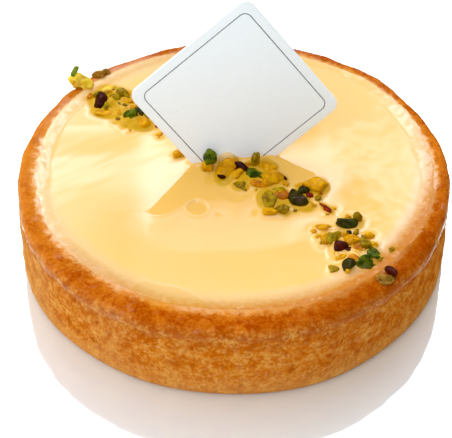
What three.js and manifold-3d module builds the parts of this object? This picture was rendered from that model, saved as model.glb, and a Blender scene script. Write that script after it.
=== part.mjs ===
// A round lemon tart: a baked sweet-pastry shell filled to the rim with lemon cream, chopped pistachio
// scattered across it in three clusters, and a small square card stuck into the cream by one corner.
// Millimetres, +Z up. The origin is the centre of the flat underside.
import * as THREE from "three";
import { mergeVertices } from "three/addons/utils/BufferGeometryUtils.js";
import Module from "manifold-3d";

// Driving dimensions of the shell and the filling
const TART_RADIUS = 40;
const TART_HEIGHT = 16;
const FILLING_RADIUS = 35.9;
const FILLING_SHIFT = { x: 0.5, y: 1.9 }; // the wall is thicker at the front than at the back
const FLOOR = 3;
const DRAFT = 0.5; // how far the inside of the wall leans in on its way down
const CREAM_DROP = 0.45; // how far the cream lies below the rim's crest
const FIT_GAP = 0.3; // kept between neighbouring solids
const ROUNDS = { foot: 1.3, outerEdge: 1.4, innerEdge: 0.9, corner: 1.6, creamEdge: 0.5 };
const GRAIN = { wall: 0.2, rim: 0.12, size: 2.3 };
const CREAM_SWELL = { height: 0.12, size: 8.3 };

// Slow waves round the tart, one row each: height, waves in a turn, phase in radians
const OUTER_WAVES = [
  [0.3, 2, -Math.PI / 2],
  [0.12, 5, 1],
  [0.1, 9, 0],
];
const INNER_WAVES = [[0.12, 7, 2]];
const CREST_WAVES = [
  [0.14, 3, 0.5],
  [0.1, 8, 2],
  [0.08, 17, 0],
];

// Driving dimensions of the card and how it stands
const CARD_SIDE = 28;
const CARD_CORNER = 2;
const CARD_THICKNESS = 0.5;
const CARD_CENTRE = new THREE.Vector3(0.4, 7.3, 27.8);
const CARD_TURN = 8.4; // degrees about the upright axis
const CARD_LEAN = 16.3; // degrees back from upright
const CARD_SPIN = 36.4; // degrees within its own plane

const STEPS = { shell: 144, cream: 96, wall: 6, creamRings: 6 };
const COLOURS = { shell: 0xc9813a, cream: 0xf7dc94, card: 0xe9ebe8 };

// Chopped pistachio on the cream, one row a piece: x, y, length, breadth, height, turn in degrees
const NUTS_BEHIND = [
  [-24.2, 24.6, 2.5, 2.0, 2.0, 20],
  [-25.0, 21.1, 3.0, 3.2, 2.8, 40],
  [-25.9, 23.2, 1.6, 1.4, 1.8, 0],
  [-21.4, 23.0, 2.8, 2.4, 2.9, 0],
  [-19.5, 23.2, 1.2, 1.1, 1.1, 0],
  [-19.8, 21.2, 2.5, 1.8, 1.2, -20],
  [-23.7, 20.6, 1.6, 0.9, 1.2, -10],
  [-22.1, 20.4, 2.9, 1.3, 1.4, -45],
  [-19.8, 16.4, 2.5, 2.2, 3.6, 10],
  [-17.3, 17.7, 2.4, 1.6, 2.0, -50],
  [-17.0, 14.8, 2.9, 2.4, 1.8, 0],
  [-23.5, 17.9, 4.2, 1.9, 0.9, -10],
  [-19.1, 14.6, 2.4, 1.4, 0.8, -15],
  [-9.9, 5.9, 1.8, 1.2, 1.2, 30],
];
const NUTS_AT_CARD = [
  [-4.6, 2.0, 1.7, 1.4, 3.4, 0],
  [-1.1, 1.1, 5.6, 3.1, 2.4, 74],
  [0.8, 0.3, 2.4, 2.1, 1.5, 60],
  [1.7, 1.1, 3.0, 2.0, 2.1, -15],
  [3.4, 0.0, 2.5, 2.2, 2.1, 0],
  [4.0, 3.3, 1.7, 1.3, 3.2, 60],
  [3.1, 2.7, 1.6, 1.3, 1.3, 15],
  [6.5, 2.4, 2.6, 2.1, 1.3, 0],
  [7.1, -1.0, 3.7, 3.6, 2.4, 0],
  [5.2, -0.5, 1.2, 1.1, 1.6, 0],
  [4.8, -2.5, 2.7, 1.8, 1.4, -20],
  [1.3, -3.1, 2.2, 1.7, 1.1, -20],
  [2.3, -1.3, 2.2, 1.4, 1.0, 0],
  [6.3, -6.6, 3.2, 4.2, 2.4, 10],
  [6.6, -9.7, 1.9, 1.2, 1.0, 0],
  [8.4, -4.3, 1.9, 1.3, 0.9, 10],
  [9.0, -6.2, 2.1, 2.4, 1.6, 0],
  [9.0, -9.3, 1.9, 2.0, 1.6, 0],
  [11.9, -7.1, 4.3, 2.8, 2.6, -38],
  [12.6, -4.1, 1.7, 1.3, 1.2, 0],
  [13.9, -5.5, 1.5, 0.9, 0.9, -10],
  [15.2, -3.0, 3.6, 3.2, 2.2, 5],
  [16.8, -8.7, 2.3, 0.9, 0.8, -50],
];
const NUTS_IN_FRONT = [
  [20.7, -13.2, 3.5, 2.7, 2.6, 10],
  [16.1, -13.8, 1.9, 1.0, 1.0, -5],
  [16.3, -16.8, 2.0, 1.9, 1.6, 0],
  [17.8, -16.9, 2.0, 2.2, 1.9, 0],
  [18.5, -19.2, 2.6, 2.3, 2.3, 30],
  [20.9, -17.6, 2.3, 2.0, 1.7, 0],
  [21.9, -19.1, 2.1, 2.0, 1.6, 25],
  [23.1, -18.3, 1.8, 2.1, 1.7, 0],
  [24.6, -20.8, 2.2, 2.2, 2.1, 0],
  [23.1, -23.1, 2.5, 2.1, 1.9, 10],
  [19.9, -23.6, 2.0, 2.0, 1.6, -10],
  [21.0, -21.8, 2.1, 1.8, 1.2, 0],
  [19.2, -21.5, 1.7, 1.3, 1.0, 0],
  [17.8, -24.3, 1.5, 1.4, 0.9, 0],
];
// Pistachio on the pastry rim, the last number being how far its foot stands above the crest
const NUTS_ON_RIM = [
  [-29.6, 26.1, 4.2, 2.9, 3.5, 0, 0.3],
  [-30.4, 26.1, 1.7, 0.9, 3.6, 35, 2.8],
  [-26.0, 28.5, 1.9, 1.4, 1.4, 20, 0],
  [-24.6, 29.9, 1.4, 1.1, 1.1, 0, 0],
  [27.6, -26.3, 3.2, 1.2, 1.5, -60, 0],
  [26.4, -27.4, 2.6, 1.8, 1.5, 10, 0],
];
// The piece that rests on another one in front of the card, with the height of its foot
const NUT_ON_NUT = [-4.7, 2.1, 2.8, 2.0, 2.3, 0, 2.5];
const CRUMBS = { count: 24, seed: 11, smallest: 0.6, largest: 1.1, spread: 2.6, clearance: 0.5 };
const NUT_SINK = 0.3; // the share of a piece's height that lies in the cream
// How far a piece's corners are pushed in or out, and the length from which it has more of them
const NUT_CORNERS = { least: 0.86, most: 1.14, detailedFrom: 2.2 };

const wasm = await Module();
wasm.setup();

// The same numbers each run: a small linear congruential generator between 0 and 1.
function randomFrom(seed) {
  let state = seed * 7919 + 12345;
  return () => {
    state = (state * 16807) % 2147483647;
    return state / 2147483647;
  };
}

// A fixed number between -1 and 1 for each corner of a lattice.
function latticeValue(i, j, k) {
  const mixed = Math.sin(i * 127.1 + j * 311.7 + k * 74.7) * 43758.5453;
  return 2 * (mixed - Math.floor(mixed)) - 1;
}

// Smooth lattice noise between -1 and 1.
function noise(x, y, z) {
  const cell = [Math.floor(x), Math.floor(y), Math.floor(z)];
  const ease = (t) => t * t * (3 - 2 * t);
  const f = [ease(x - cell[0]), ease(y - cell[1]), ease(z - cell[2])];
  let sum = 0;
  for (let corner = 0; corner < 8; corner += 1) {
    const bit = [corner & 1, (corner >> 1) & 1, (corner >> 2) & 1];
    const weight = bit.reduce((w, b, axis) => w * (b ? f[axis] : 1 - f[axis]), 1);
    sum += weight * latticeValue(cell[0] + bit[0], cell[1] + bit[1], cell[2] + bit[2]);
  }
  return sum;
}

// The sum of a list of waves at an angle.
function wave(rows, angle) {
  return rows.reduce((sum, [height, count, phase]) => sum + height * Math.sin(count * angle + phase), 0);
}

// How far the inside of the wall stands out from its nominal circle at an angle.
function innerShift(angle) {
  return FILLING_SHIFT.x * Math.cos(angle) + FILLING_SHIFT.y * Math.sin(angle) + wave(INNER_WAVES, angle);
}

// Points on an arc round a centre of a profile, with the angles in degrees.
function arc([radius, height], bend, from, to, steps, kind) {
  const points = [];
  for (let step = 0; step <= steps; step += 1) {
    const angle = THREE.MathUtils.degToRad(from + ((to - from) * step) / steps);
    points.push([radius + bend * Math.cos(angle), height + bend * Math.sin(angle), kind]);
  }
  return points;
}

// Turns a profile of [radius, height, kind] points about the upright axis, then moves each vertex by reshape().
function turned(profile, steps, reshape) {
  const points = profile.map(([radius, height]) => new THREE.Vector2(radius, height));
  const geometry = new THREE.LatheGeometry(points, steps).rotateX(Math.PI / 2);
  const position = geometry.getAttribute("position");
  for (let i = 0; i < position.count; i += 1) {
    const [radius, height, kind] = profile[i % profile.length];
    const angle = radius ? Math.atan2(position.getY(i), position.getX(i)) : 0;
    const moved = reshape(radius, height, angle, kind);
    position.setXYZ(i, moved.radius * Math.cos(angle), moved.radius * Math.sin(angle), moved.height);
  }
  return geometry;
}

// A closed three.js geometry as a solid that can be joined and cut.
function solid(geometry) {
  const bare = geometry.clone();
  bare.deleteAttribute("normal");
  bare.deleteAttribute("uv");
  const merged = mergeVertices(bare, 1e-4);
  return new wasm.Manifold(
    new wasm.Mesh({
      numProp: 3,
      vertProperties: new Float32Array(merged.getAttribute("position").array),
      triVerts: new Uint32Array(merged.index.array),
    }),
  );
}

// The largest body of a solid, as a three.js geometry.
function geometryOf(joined) {
  const bodies = joined.decompose().sort((a, b) => b.volume() - a.volume());
  const mesh = bodies[0].getMesh();
  const geometry = new THREE.BufferGeometry();
  geometry.setAttribute("position", new THREE.BufferAttribute(mesh.vertProperties.slice(), 3));
  geometry.setIndex(new THREE.BufferAttribute(mesh.triVerts.slice(), 1));
  geometry.computeVertexNormals();
  return geometry;
}

// The shell's profile from the axis underneath, up the wall, over the rim and back to the axis inside.
function shellProfile() {
  const { foot, outerEdge, innerEdge, corner } = ROUNDS;
  const wallTop = TART_HEIGHT - outerEdge;
  const profile = [[0, 0, "under"], ...arc([TART_RADIUS - foot, foot], foot, -90, 0, 2, "under")];
  for (let step = 1; step < STEPS.wall; step += 1) {
    profile.push([TART_RADIUS, foot + ((wallTop - foot) * step) / STEPS.wall, "wall"]);
  }
  const inside = FILLING_RADIUS - DRAFT;
  return profile.concat(
    arc([TART_RADIUS - outerEdge, wallTop], outerEdge, 0, 90, 4, "rim"),
    arc([FILLING_RADIUS + innerEdge, TART_HEIGHT - CREAM_DROP / 2 - innerEdge], innerEdge, 90, 180, 3, "rim"),
    arc([inside - corner, FLOOR + corner], corner, 0, -90, 2, "inside"),
    [[0, FLOOR, "inside"]],
  );
}

function shellShape(radius, height, angle, kind) {
  const inner = innerShift(angle);
  const outer = wave(OUTER_WAVES, angle);
  if (kind === "inside") {
    return { radius: radius + (inner * radius) / FILLING_RADIUS, height };
  }
  if (kind === "under") {
    return { radius: radius + (outer * radius) / TART_RADIUS, height };
  }
  const reach = Math.min(1, (radius - FILLING_RADIUS) / (TART_RADIUS - FILLING_RADIUS));
  const across = radius / GRAIN.size;
  const grain = noise(across * Math.cos(angle), across * Math.sin(angle), height / GRAIN.size);
  const out = inner + (outer - inner + GRAIN.wall * grain) * reach;
  const up = kind === "rim" ? wave(CREST_WAVES, angle) + GRAIN.rim * grain : 0;
  return { radius: radius + out, height: height + up };
}

// The filling's profile, from the axis underneath to the axis on top, clear of the shell all round.
function creamProfile() {
  const { innerEdge, corner, creamEdge } = ROUNDS;
  const top = TART_HEIGHT - CREAM_DROP;
  const side = FILLING_RADIUS - FIT_GAP;
  const bottom = FLOOR + FIT_GAP;
  const profile = [
    [0, bottom, "side"],
    ...arc([side - DRAFT - corner, bottom + corner], corner, -90, 0, 2, "side"),
    [side, TART_HEIGHT - CREAM_DROP / 2 - innerEdge, "side"],
    ...arc([side - creamEdge, top - creamEdge], creamEdge, 0, 60, 1, "side"),
  ];
  for (let ring = 0; ring <= STEPS.creamRings; ring += 1) {
    profile.push([(side - 3 * creamEdge) * (1 - ring / STEPS.creamRings), top, "top"]);
  }
  return profile;
}

function creamShape(radius, height, angle, kind) {
  const share = radius / FILLING_RADIUS;
  const moved = radius + innerShift(angle) * share * (kind === "top" ? share : 1);
  const across = radius / CREAM_SWELL.size;
  const swell = CREAM_SWELL.height * noise(across * Math.cos(angle), across * Math.sin(angle), 0);
  return { radius: moved, height: height + (kind === "top" ? swell : 0) };
}

// One chopped piece, centred on the origin: a ball of flat faces with its corners pushed in or out by a draw.
function nutPiece(row, random) {
  const [length, breadth, height, turn] = row.slice(2);
  const { least, most, detailedFrom } = NUT_CORNERS;
  const ball = length > detailedFrom ? new THREE.DodecahedronGeometry(1) : new THREE.IcosahedronGeometry(1);
  ball.deleteAttribute("normal");
  ball.deleteAttribute("uv");
  const piece = mergeVertices(ball, 1e-4);
  const corner = piece.getAttribute("position");
  for (let i = 0; i < corner.count; i += 1) {
    const push = least + (most - least) * random();
    corner.setXYZ(i, corner.getX(i) * push, corner.getY(i) * push, corner.getZ(i) * push);
  }
  return piece.scale(length / 2, breadth / 2, height / 2).rotateZ(THREE.MathUtils.degToRad(turn));
}

// Fuses a row's piece to a base whose surface lies at the height given.
function fuseNut(base, row, surface, random) {
  const [x, y, , , height, , foot = 0] = row;
  const centre = surface + foot + height * (0.5 - NUT_SINK);
  return base.add(solid(nutPiece(row, random).translate(x, y, centre)));
}

// Crumbs strewn round randomly drawn pieces, as rows like those of the larger pieces.
function crumbRows(rows) {
  const random = randomFrom(CRUMBS.seed);
  const crumbs = [];
  while (crumbs.length < CRUMBS.count) {
    const near = rows[Math.floor(random() * rows.length)];
    const reach = near[2] / 2 + CRUMBS.spread * random();
    const angle = 2 * Math.PI * random();
    const size = CRUMBS.smallest + (CRUMBS.largest - CRUMBS.smallest) * random();
    const x = near[0] + reach * Math.cos(angle);
    const y = near[1] + reach * Math.sin(angle);
    const edge = FILLING_RADIUS + innerShift(Math.atan2(y, x)) - FIT_GAP;
    if (Math.hypot(x, y) + size < edge - CRUMBS.clearance) {
      crumbs.push([x, y, size, size * 0.8, size * 0.8, 180 * random()]);
    }
  }
  return crumbs;
}

// The card's outline, grown by a margin, as a plate centred on the origin and facing +Z.
function cardPlate(margin) {
  const half = CARD_SIDE / 2 + margin;
  const bend = CARD_CORNER + margin;
  const outline = new THREE.Shape();
  for (let quarter = 0; quarter < 4; quarter += 1) {
    const start = (quarter * Math.PI) / 2;
    const diagonal = start + Math.PI / 4;
    const reach = (half - bend) * Math.SQRT2;
    outline.absarc(reach * Math.cos(diagonal), reach * Math.sin(diagonal), bend, start, start + Math.PI / 2);
  }
  outline.closePath();
  const depth = CARD_THICKNESS + 2 * margin;
  const plate = new THREE.ExtrudeGeometry(outline, { depth, bevelEnabled: false, curveSegments: 6 });
  return plate.translate(0, 0, -depth / 2);
}

// Two nested groups that turn the card about the upright axis and lean it back.
function cardHolder() {
  const turn = new THREE.Group();
  turn.position.copy(CARD_CENTRE);
  turn.rotation.z = THREE.MathUtils.degToRad(CARD_TURN);
  const lean = new THREE.Group();
  lean.rotation.x = THREE.MathUtils.degToRad(90 - CARD_LEAN);
  turn.add(lean);
  return { turn, lean };
}

function cardMesh() {
  const card = new THREE.Mesh(
    cardPlate(0),
    new THREE.MeshStandardMaterial({ color: COLOURS.card, roughness: 0.4, metalness: 0 }),
  );
  card.name = "card";
  card.rotation.z = THREE.MathUtils.degToRad(CARD_SPIN);
  return card;
}

function shellMesh() {
  const random = randomFrom(3);
  let shell = solid(turned(shellProfile(), STEPS.shell, shellShape));
  for (const row of NUTS_ON_RIM) {
    shell = fuseNut(shell, row, TART_HEIGHT, random);
  }
  const mesh = new THREE.Mesh(
    geometryOf(shell),
    new THREE.MeshStandardMaterial({ color: COLOURS.shell, roughness: 0.75, metalness: 0 }),
  );
  mesh.name = "pastry_shell";
  return mesh;
}

// The filling with its pistachio, cut round the card's buried corner.
function creamMesh(cardMatrix) {
  const random = randomFrom(5);
  const surface = TART_HEIGHT - CREAM_DROP;
  const rows = [...NUTS_BEHIND, ...NUTS_AT_CARD, ...NUTS_IN_FRONT];
  let cream = solid(turned(creamProfile(), STEPS.cream, creamShape));
  for (const row of [...rows, NUT_ON_NUT, ...crumbRows(rows)]) {
    cream = fuseNut(cream, row, surface, random);
  }
  cream = cream.subtract(solid(cardPlate(FIT_GAP).applyMatrix4(cardMatrix)));
  const mesh = new THREE.Mesh(
    geometryOf(cream),
    new THREE.MeshStandardMaterial({ color: COLOURS.cream, roughness: 0.2, metalness: 0 }),
  );
  mesh.name = "lemon_cream";
  return mesh;
}

const tart = new THREE.Group();
const holder = cardHolder();
const card = cardMesh();
holder.lean.add(card);
tart.add(holder.turn);
tart.updateMatrixWorld(true);
tart.add(creamMesh(card.matrixWorld));
tart.add(shellMesh());

export default tart;
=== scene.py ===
"""The looks of a round lemon tart: a baked sweet-pastry shell, a glossy lemon cream, chopped pistachio in
three clusters and a small square card that stands in the cream. Lengths in the functions below are
millimetres, as in the part's own source, and become metres where a mesh is written."""

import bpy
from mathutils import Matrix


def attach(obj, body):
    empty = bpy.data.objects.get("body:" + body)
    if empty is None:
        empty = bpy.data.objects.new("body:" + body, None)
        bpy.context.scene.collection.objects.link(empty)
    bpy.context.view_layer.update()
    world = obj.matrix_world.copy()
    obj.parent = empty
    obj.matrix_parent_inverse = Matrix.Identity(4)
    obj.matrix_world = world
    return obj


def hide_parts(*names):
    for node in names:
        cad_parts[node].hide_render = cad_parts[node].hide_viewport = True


bl_info = {
    "name": "Lemon tart",
    "version": (1, 0, 0),
    "blender": (4, 5, 0),
    "location": "3D View > Sidebar > Lemon tart",
    "description": "Builds the baked shell, the lemon cream, the pistachio and the card of a lemon tart",
    "category": "Add Mesh",
}

import math
from typing import NamedTuple

import bmesh
import bpy
import numpy as np
from mathutils import Euler, Matrix, Vector

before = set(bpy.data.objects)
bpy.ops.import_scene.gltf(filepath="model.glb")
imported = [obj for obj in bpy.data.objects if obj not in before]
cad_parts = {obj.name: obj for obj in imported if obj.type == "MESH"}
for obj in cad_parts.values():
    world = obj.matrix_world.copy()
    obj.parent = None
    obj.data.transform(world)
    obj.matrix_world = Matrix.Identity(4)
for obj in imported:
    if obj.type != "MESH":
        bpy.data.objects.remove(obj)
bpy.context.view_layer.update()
MM = 0.001

# The tart's own sizes, as in the part's source
TART_RADIUS = 40.0
TART_HEIGHT = 16.0
FILLING_RADIUS = 35.9
FILLING_SHIFT = (0.5, 1.9)
FLOOR = 3.0
DRAFT = 0.5
CREAM_DROP = 0.45
CREAM_TOP = TART_HEIGHT - CREAM_DROP
FIT_GAP = 0.3
ROUNDS = {"foot": 1.3, "outer": 1.4, "inner": 0.9, "corner": 1.6}
GRAIN = {"wall": 0.2, "rim": 0.12, "size": 2.3}
OUTER_WAVES = ((0.3, 2, -math.pi / 2), (0.12, 5, 1), (0.1, 9, 0))
INNER_WAVES = ((0.12, 7, 2),)
CREST_WAVES = ((0.14, 3, 0.5), (0.1, 8, 2), (0.08, 17, 0))

# The sides on which the crust is the palest, partly with painted light, and the brownest, partly with
# painted shade, as an angle and a half width in degrees
PALE_AND_LIT_SIDE = (162, 56)
BROWN_AND_SHADED_SIDE = (318, 34)

# The card and how it stands
CARD_SIDE = 28.0
CARD_CORNER = 2.0
CARD_THICKNESS = 0.5
CARD_CENTRE = (0.4, 7.3, 27.8)
CARD_TURN = 8.4
CARD_LEAN = 16.3
CARD_SPIN = 36.4
CARD_SOFT_EDGE = 0.12
# How the card's edge is rounded, as inset and rise in shares of its softness, from the face to the side
CARD_EDGE = ((1, 0), (0.3, 0.3), (0, 1))
# The border line on the card's front: its corner, and how far it reaches into the card and stands on it
LINE_CORNER = 1.5
LINE_DEPTH = 0.02
LINE_STAND = 0.012


class Nut(NamedTuple):
    """One chopped piece: its place, its size, its turn in degrees, its kind and the height of its foot."""

    x: float
    y: float
    length: float
    breadth: float
    height: float
    turn: float
    kind: str
    foot: float = 0.0


def cluster(*rows):
    """Pieces from rows of their values in that order. The foot's height is left out where it is 0."""
    return tuple(Nut(*row) for row in rows)


NUTS_BEHIND = cluster(
    (-24.2, 24.6, 2.5, 2.0, 2.0, 20, "pale"),
    (-25.0, 21.1, 3.4, 3.4, 3.0, 40, "dark"),
    (-25.9, 23.2, 1.6, 1.4, 1.8, 0, "olive"),
    (-27.4, 22.7, 0.9, 0.8, 0.9, 0, "russet"),
    (-21.4, 23.0, 2.8, 2.4, 2.9, 0, "olive"),
    (-19.5, 23.2, 1.2, 1.1, 1.1, 0, "golden"),
    (-19.8, 21.2, 2.5, 1.8, 1.2, -20, "golden"),
    (-23.7, 20.6, 1.6, 0.9, 1.2, -10, "olive"),
    (-23.1, 24.1, 1.1, 0.5, 1.4, -60, "dark"),
    (-22.1, 20.4, 2.9, 1.3, 1.4, -45, "green"),
    (-19.8, 16.4, 2.5, 2.2, 3.6, 10, "green"),
    (-17.3, 17.7, 2.4, 1.6, 2.0, -50, "deep"),
    (-16.3, 16.7, 1.3, 0.9, 1.0, -50, "olive"),
    (-17.0, 14.8, 2.9, 2.4, 1.8, 0, "golden"),
    (-23.5, 17.9, 4.2, 1.9, 0.9, -10, "golden"),
    (-21.8, 15.9, 1.3, 1.0, 0.9, 0, "olive"),
    (-19.1, 14.6, 2.4, 1.4, 0.8, -15, "golden"),
    (-15.1, 15.2, 0.8, 0.7, 0.8, 0, "olive"),
    (-14.4, 14.0, 0.7, 0.5, 0.6, 30, "red"),
    (-13.8, 11.3, 0.8, 0.7, 0.5, 0, "golden"),
    (-13.2, 12.0, 0.6, 0.5, 0.5, 0, "golden"),
    (-9.9, 5.9, 1.8, 1.2, 1.2, 30, "golden"),
    (-24.0, 19.4, 1.7, 1.3, 1.5, 30, "olive"),
    (-22.9, 21.8, 1.8, 1.5, 1.8, -20, "olive"),
    (-20.9, 19.6, 1.7, 1.4, 1.4, 10, "olive"),
    (-18.4, 19.2, 1.6, 1.3, 1.3, 0, "golden"),
    (-21.3, 17.8, 1.8, 1.5, 1.2, 50, "golden"),
    (-18.2, 16.2, 1.5, 1.3, 1.2, 0, "golden"),
    (-20.0, 14.9, 1.2, 1.0, 0.9, 0, "golden"),
)
NUTS_AT_CARD = cluster(
    (-4.8, 2.0, 1.5, 1.4, 2.4, 0, "golden"),
    (-4.7, 2.1, 2.5, 2.1, 2.1, 0, "green", 2.2),
    (-1.1, 1.1, 5.6, 3.1, 2.4, 74, "golden"),
    (-1.9, -1.2, 1.1, 0.7, 0.7, 15, "dark", 0.7),
    (0.8, 0.3, 2.4, 2.1, 1.5, 60, "golden"),
    (1.7, 1.1, 3.0, 1.8, 2.1, -15, "dark", 0.3),
    (3.4, 0.0, 2.5, 2.2, 2.1, 0, "green"),
    (4.0, 3.3, 1.7, 1.3, 3.2, 60, "olive"),
    (3.1, 2.7, 1.6, 1.3, 1.3, 15, "russet"),
    (6.5, 2.4, 2.6, 2.1, 1.3, 0, "golden"),
    (7.1, -1.0, 3.7, 3.6, 2.4, 0, "golden"),
    (9.3, -1.3, 1.0, 0.9, 1.0, 0, "dark"),
    (9.4, -2.4, 1.1, 0.8, 0.8, 0, "golden"),
    (5.2, -0.5, 1.2, 1.1, 1.6, 0, "green"),
    (4.8, -2.5, 2.7, 1.8, 1.4, -20, "russet"),
    (1.3, -3.1, 2.2, 1.7, 1.1, -20, "olive"),
    (2.3, -1.3, 2.2, 1.4, 1.0, 0, "golden"),
    (6.3, -6.6, 3.2, 4.2, 2.4, 10, "olive"),
    (6.6, -9.7, 1.9, 1.2, 1.0, 0, "golden"),
    (8.4, -4.3, 1.9, 1.3, 0.9, 10, "olive"),
    (9.0, -6.2, 2.1, 2.4, 1.6, 0, "russet"),
    (9.0, -9.3, 1.9, 2.0, 1.6, 0, "olive"),
    (11.9, -7.1, 4.3, 2.8, 2.6, -38, "deep"),
    (12.6, -4.1, 1.7, 1.3, 1.2, 0, "deep"),
    (12.3, -3.0, 1.4, 0.9, 0.9, 0, "golden"),
    (13.9, -5.5, 1.5, 0.9, 0.9, -10, "red"),
    (15.2, -6.1, 1.1, 1.0, 0.8, 0, "olive"),
    (15.2, -3.0, 3.6, 3.2, 2.2, 5, "golden"),
    (14.4, -8.1, 0.9, 0.8, 0.7, 0, "golden"),
    (16.8, -8.7, 2.3, 0.9, 0.8, -50, "red"),
)
NUTS_IN_FRONT = cluster(
    (20.7, -13.2, 3.5, 2.7, 2.6, 10, "deep"),
    (22.4, -12.3, 1.2, 1.0, 2.2, 10, "olive"),
    (16.1, -13.8, 1.9, 1.0, 1.0, -5, "golden"),
    (14.5, -14.9, 0.8, 0.6, 0.6, 0, "golden"),
    (16.3, -16.8, 2.0, 1.9, 1.6, 0, "golden"),
    (17.8, -16.9, 2.0, 2.2, 1.9, 0, "olive"),
    (18.5, -19.2, 2.6, 2.3, 2.3, 30, "dark"),
    (19.5, -16.3, 1.4, 1.1, 1.0, 0, "golden"),
    (20.7, -15.5, 1.1, 1.0, 1.1, 0, "deep"),
    (21.7, -15.6, 1.0, 1.0, 1.0, 0, "olive"),
    (20.9, -17.6, 2.3, 2.0, 1.7, 0, "golden"),
    (20.4, -19.5, 1.1, 0.9, 0.9, 0, "dark"),
    (21.9, -19.1, 2.1, 2.0, 1.6, 25, "russet"),
    (23.1, -18.3, 1.8, 2.1, 1.7, 0, "olive"),
    (24.6, -20.8, 2.2, 2.2, 2.1, 0, "green"),
    (23.1, -23.1, 2.5, 2.1, 1.9, 10, "green"),
    (19.9, -23.6, 2.0, 2.0, 1.6, -10, "deep"),
    (21.0, -21.8, 2.1, 1.8, 1.2, 0, "russet"),
    (19.2, -21.5, 1.7, 1.3, 1.0, 0, "golden"),
    (17.8, -24.3, 1.5, 1.4, 0.9, 0, "olive"),
    (24.1, -15.9, 1.4, 1.2, 1.0, 0, "golden"),
    (24.9, -18.3, 1.1, 1.0, 0.8, 0, "golden"),
    (28.0, -19.6, 1.0, 0.9, 0.8, 0, "olive"),
    (25.7, -21.9, 0.8, 0.8, 0.7, 0, "olive"),
)
NUTS_ON_RIM = cluster(
    (-29.6, 26.1, 4.2, 2.9, 3.5, 0, "pale", 0.3),
    (-30.2, 26.0, 3.2, 1.3, 0.5, 40, "leaf", 4.0),
    (-29.4, 25.0, 2.4, 1.4, 1.2, 0, "russet"),
    (-26.0, 28.5, 1.9, 1.4, 1.4, 20, "crumb"),
    (-24.6, 29.9, 1.4, 1.1, 1.1, 0, "crumb"),
    (27.6, -26.3, 3.2, 1.2, 1.5, -60, "dark"),
    (26.4, -27.4, 2.6, 1.8, 1.5, 10, "crumb"),
)
# Share of a piece's height that is sunk into what it lies on
NUT_SINK = 0.3
# Small bits round the larger pieces: how many round each, from which length on, how far from its middle as a
# share of its length and a spread, their length, and their breadth and height as shares of it
BITS = {
    "each": 2,
    "from": 1.9,
    "reach": 0.55,
    "spread": 0.4,
    "length": (0.5, 1.0),
    "breadth": 0.8,
    "height": 0.7,
}
BIT_KINDS = ("golden", "golden", "olive", "russet")

# What mixes the numbers of a lattice point into one value, as in the part's source
LATTICE_MIX = (127.1, 311.7, 74.7)
LATTICE_SCALE = 43758.5453
# How each finer lattice is turned and shifted against the one before
LATTICE_TURN = ((0.9, 1.7), (0.5, 0.8), (0.0, 1.3))
LATTICE_SHIFT = 9.7
# How far a dot may lie from its cell's middle, as a share of the cell
DOT_JITTER = 0.35


def linear(red, green, blue):
    """A display colour from 0 to 255 as the linear numbers of a shader socket."""
    def one(value):
        value /= 255
        return value / 12.92 if value <= 0.04045 else ((value + 0.055) / 1.055) ** 2.4

    return one(red), one(green), one(blue), 1.0


def lattice_value(i, j, k):
    """A fixed value from -1 to 1 for each lattice point."""
    mixed = np.sin(i * LATTICE_MIX[0] + j * LATTICE_MIX[1] + k * LATTICE_MIX[2]) * LATTICE_SCALE
    return 2 * (mixed - np.floor(mixed)) - 1


def noise(x, y, z):
    """Smooth lattice noise from -1 to 1, the same as the part's source uses."""
    x, y, z = np.broadcast_arrays(np.asarray(x, float), y, z)
    cell = [np.floor(v) for v in (x, y, z)]
    ease = [(v - c) ** 2 * (3 - 2 * (v - c)) for v, c in zip((x, y, z), cell)]
    total = np.zeros(x.shape)
    for corner in range(8):
        bit = [corner >> axis & 1 for axis in range(3)]
        weight = 1.0
        for b, e in zip(bit, ease):
            weight = weight * (e if b else 1 - e)
        total += weight * lattice_value(cell[0] + bit[0], cell[1] + bit[1], cell[2] + bit[2])
    return total


def patches(x, y, height, size, layer):
    """Smooth noise over the tart's top, of a height and in features of a size. Each layer is another one."""
    return height * noise(x / size, y / size, layer)


def sandy(x, y, z, size, octaves=4, rough=0.6):
    """Uneven noise of about -1 to 1 in features of a size, from finer lattices at changing angles."""
    total, share, weight = 0, 1, 0
    for octave in range(octaves):
        turned = Euler([start + step * octave for start, step in LATTICE_TURN]).to_matrix()
        along_axes = (sum(row[i] * v for i, v in enumerate((x, y, z))) / size for row in turned)
        total = total + share * noise(*(place + LATTICE_SHIFT * octave for place in along_axes))
        weight += share
        share *= rough
        size /= 2
    return total / weight


def dots(x, y, z, size, share, radius):
    """Round dots in a share of the cells of a lattice: 1 at a dot's middle and 0 from its edge outward."""
    here = np.stack(np.broadcast_arrays(x, y, z), 0).astype(float)
    cell = np.floor(here / size)
    best = np.zeros(here.shape[1:])
    for corner in range(27):
        step = np.array([corner % 3 - 1, corner // 3 % 3 - 1, corner // 9 - 1]).reshape(3, *[1] * best.ndim)
        i, j, k = cell + step
        away = [(c + 0.5 + DOT_JITTER * lattice_value(i + turn, j, k)) * size - p
                for turn, (c, p) in enumerate(zip((i, j, k), here))]
        filled = lattice_value(i, j + 5, k) < 2 * share - 1
        best = np.maximum(best, filled * (1 - np.sqrt(sum(a * a for a in away)) / radius))
    return best


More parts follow.
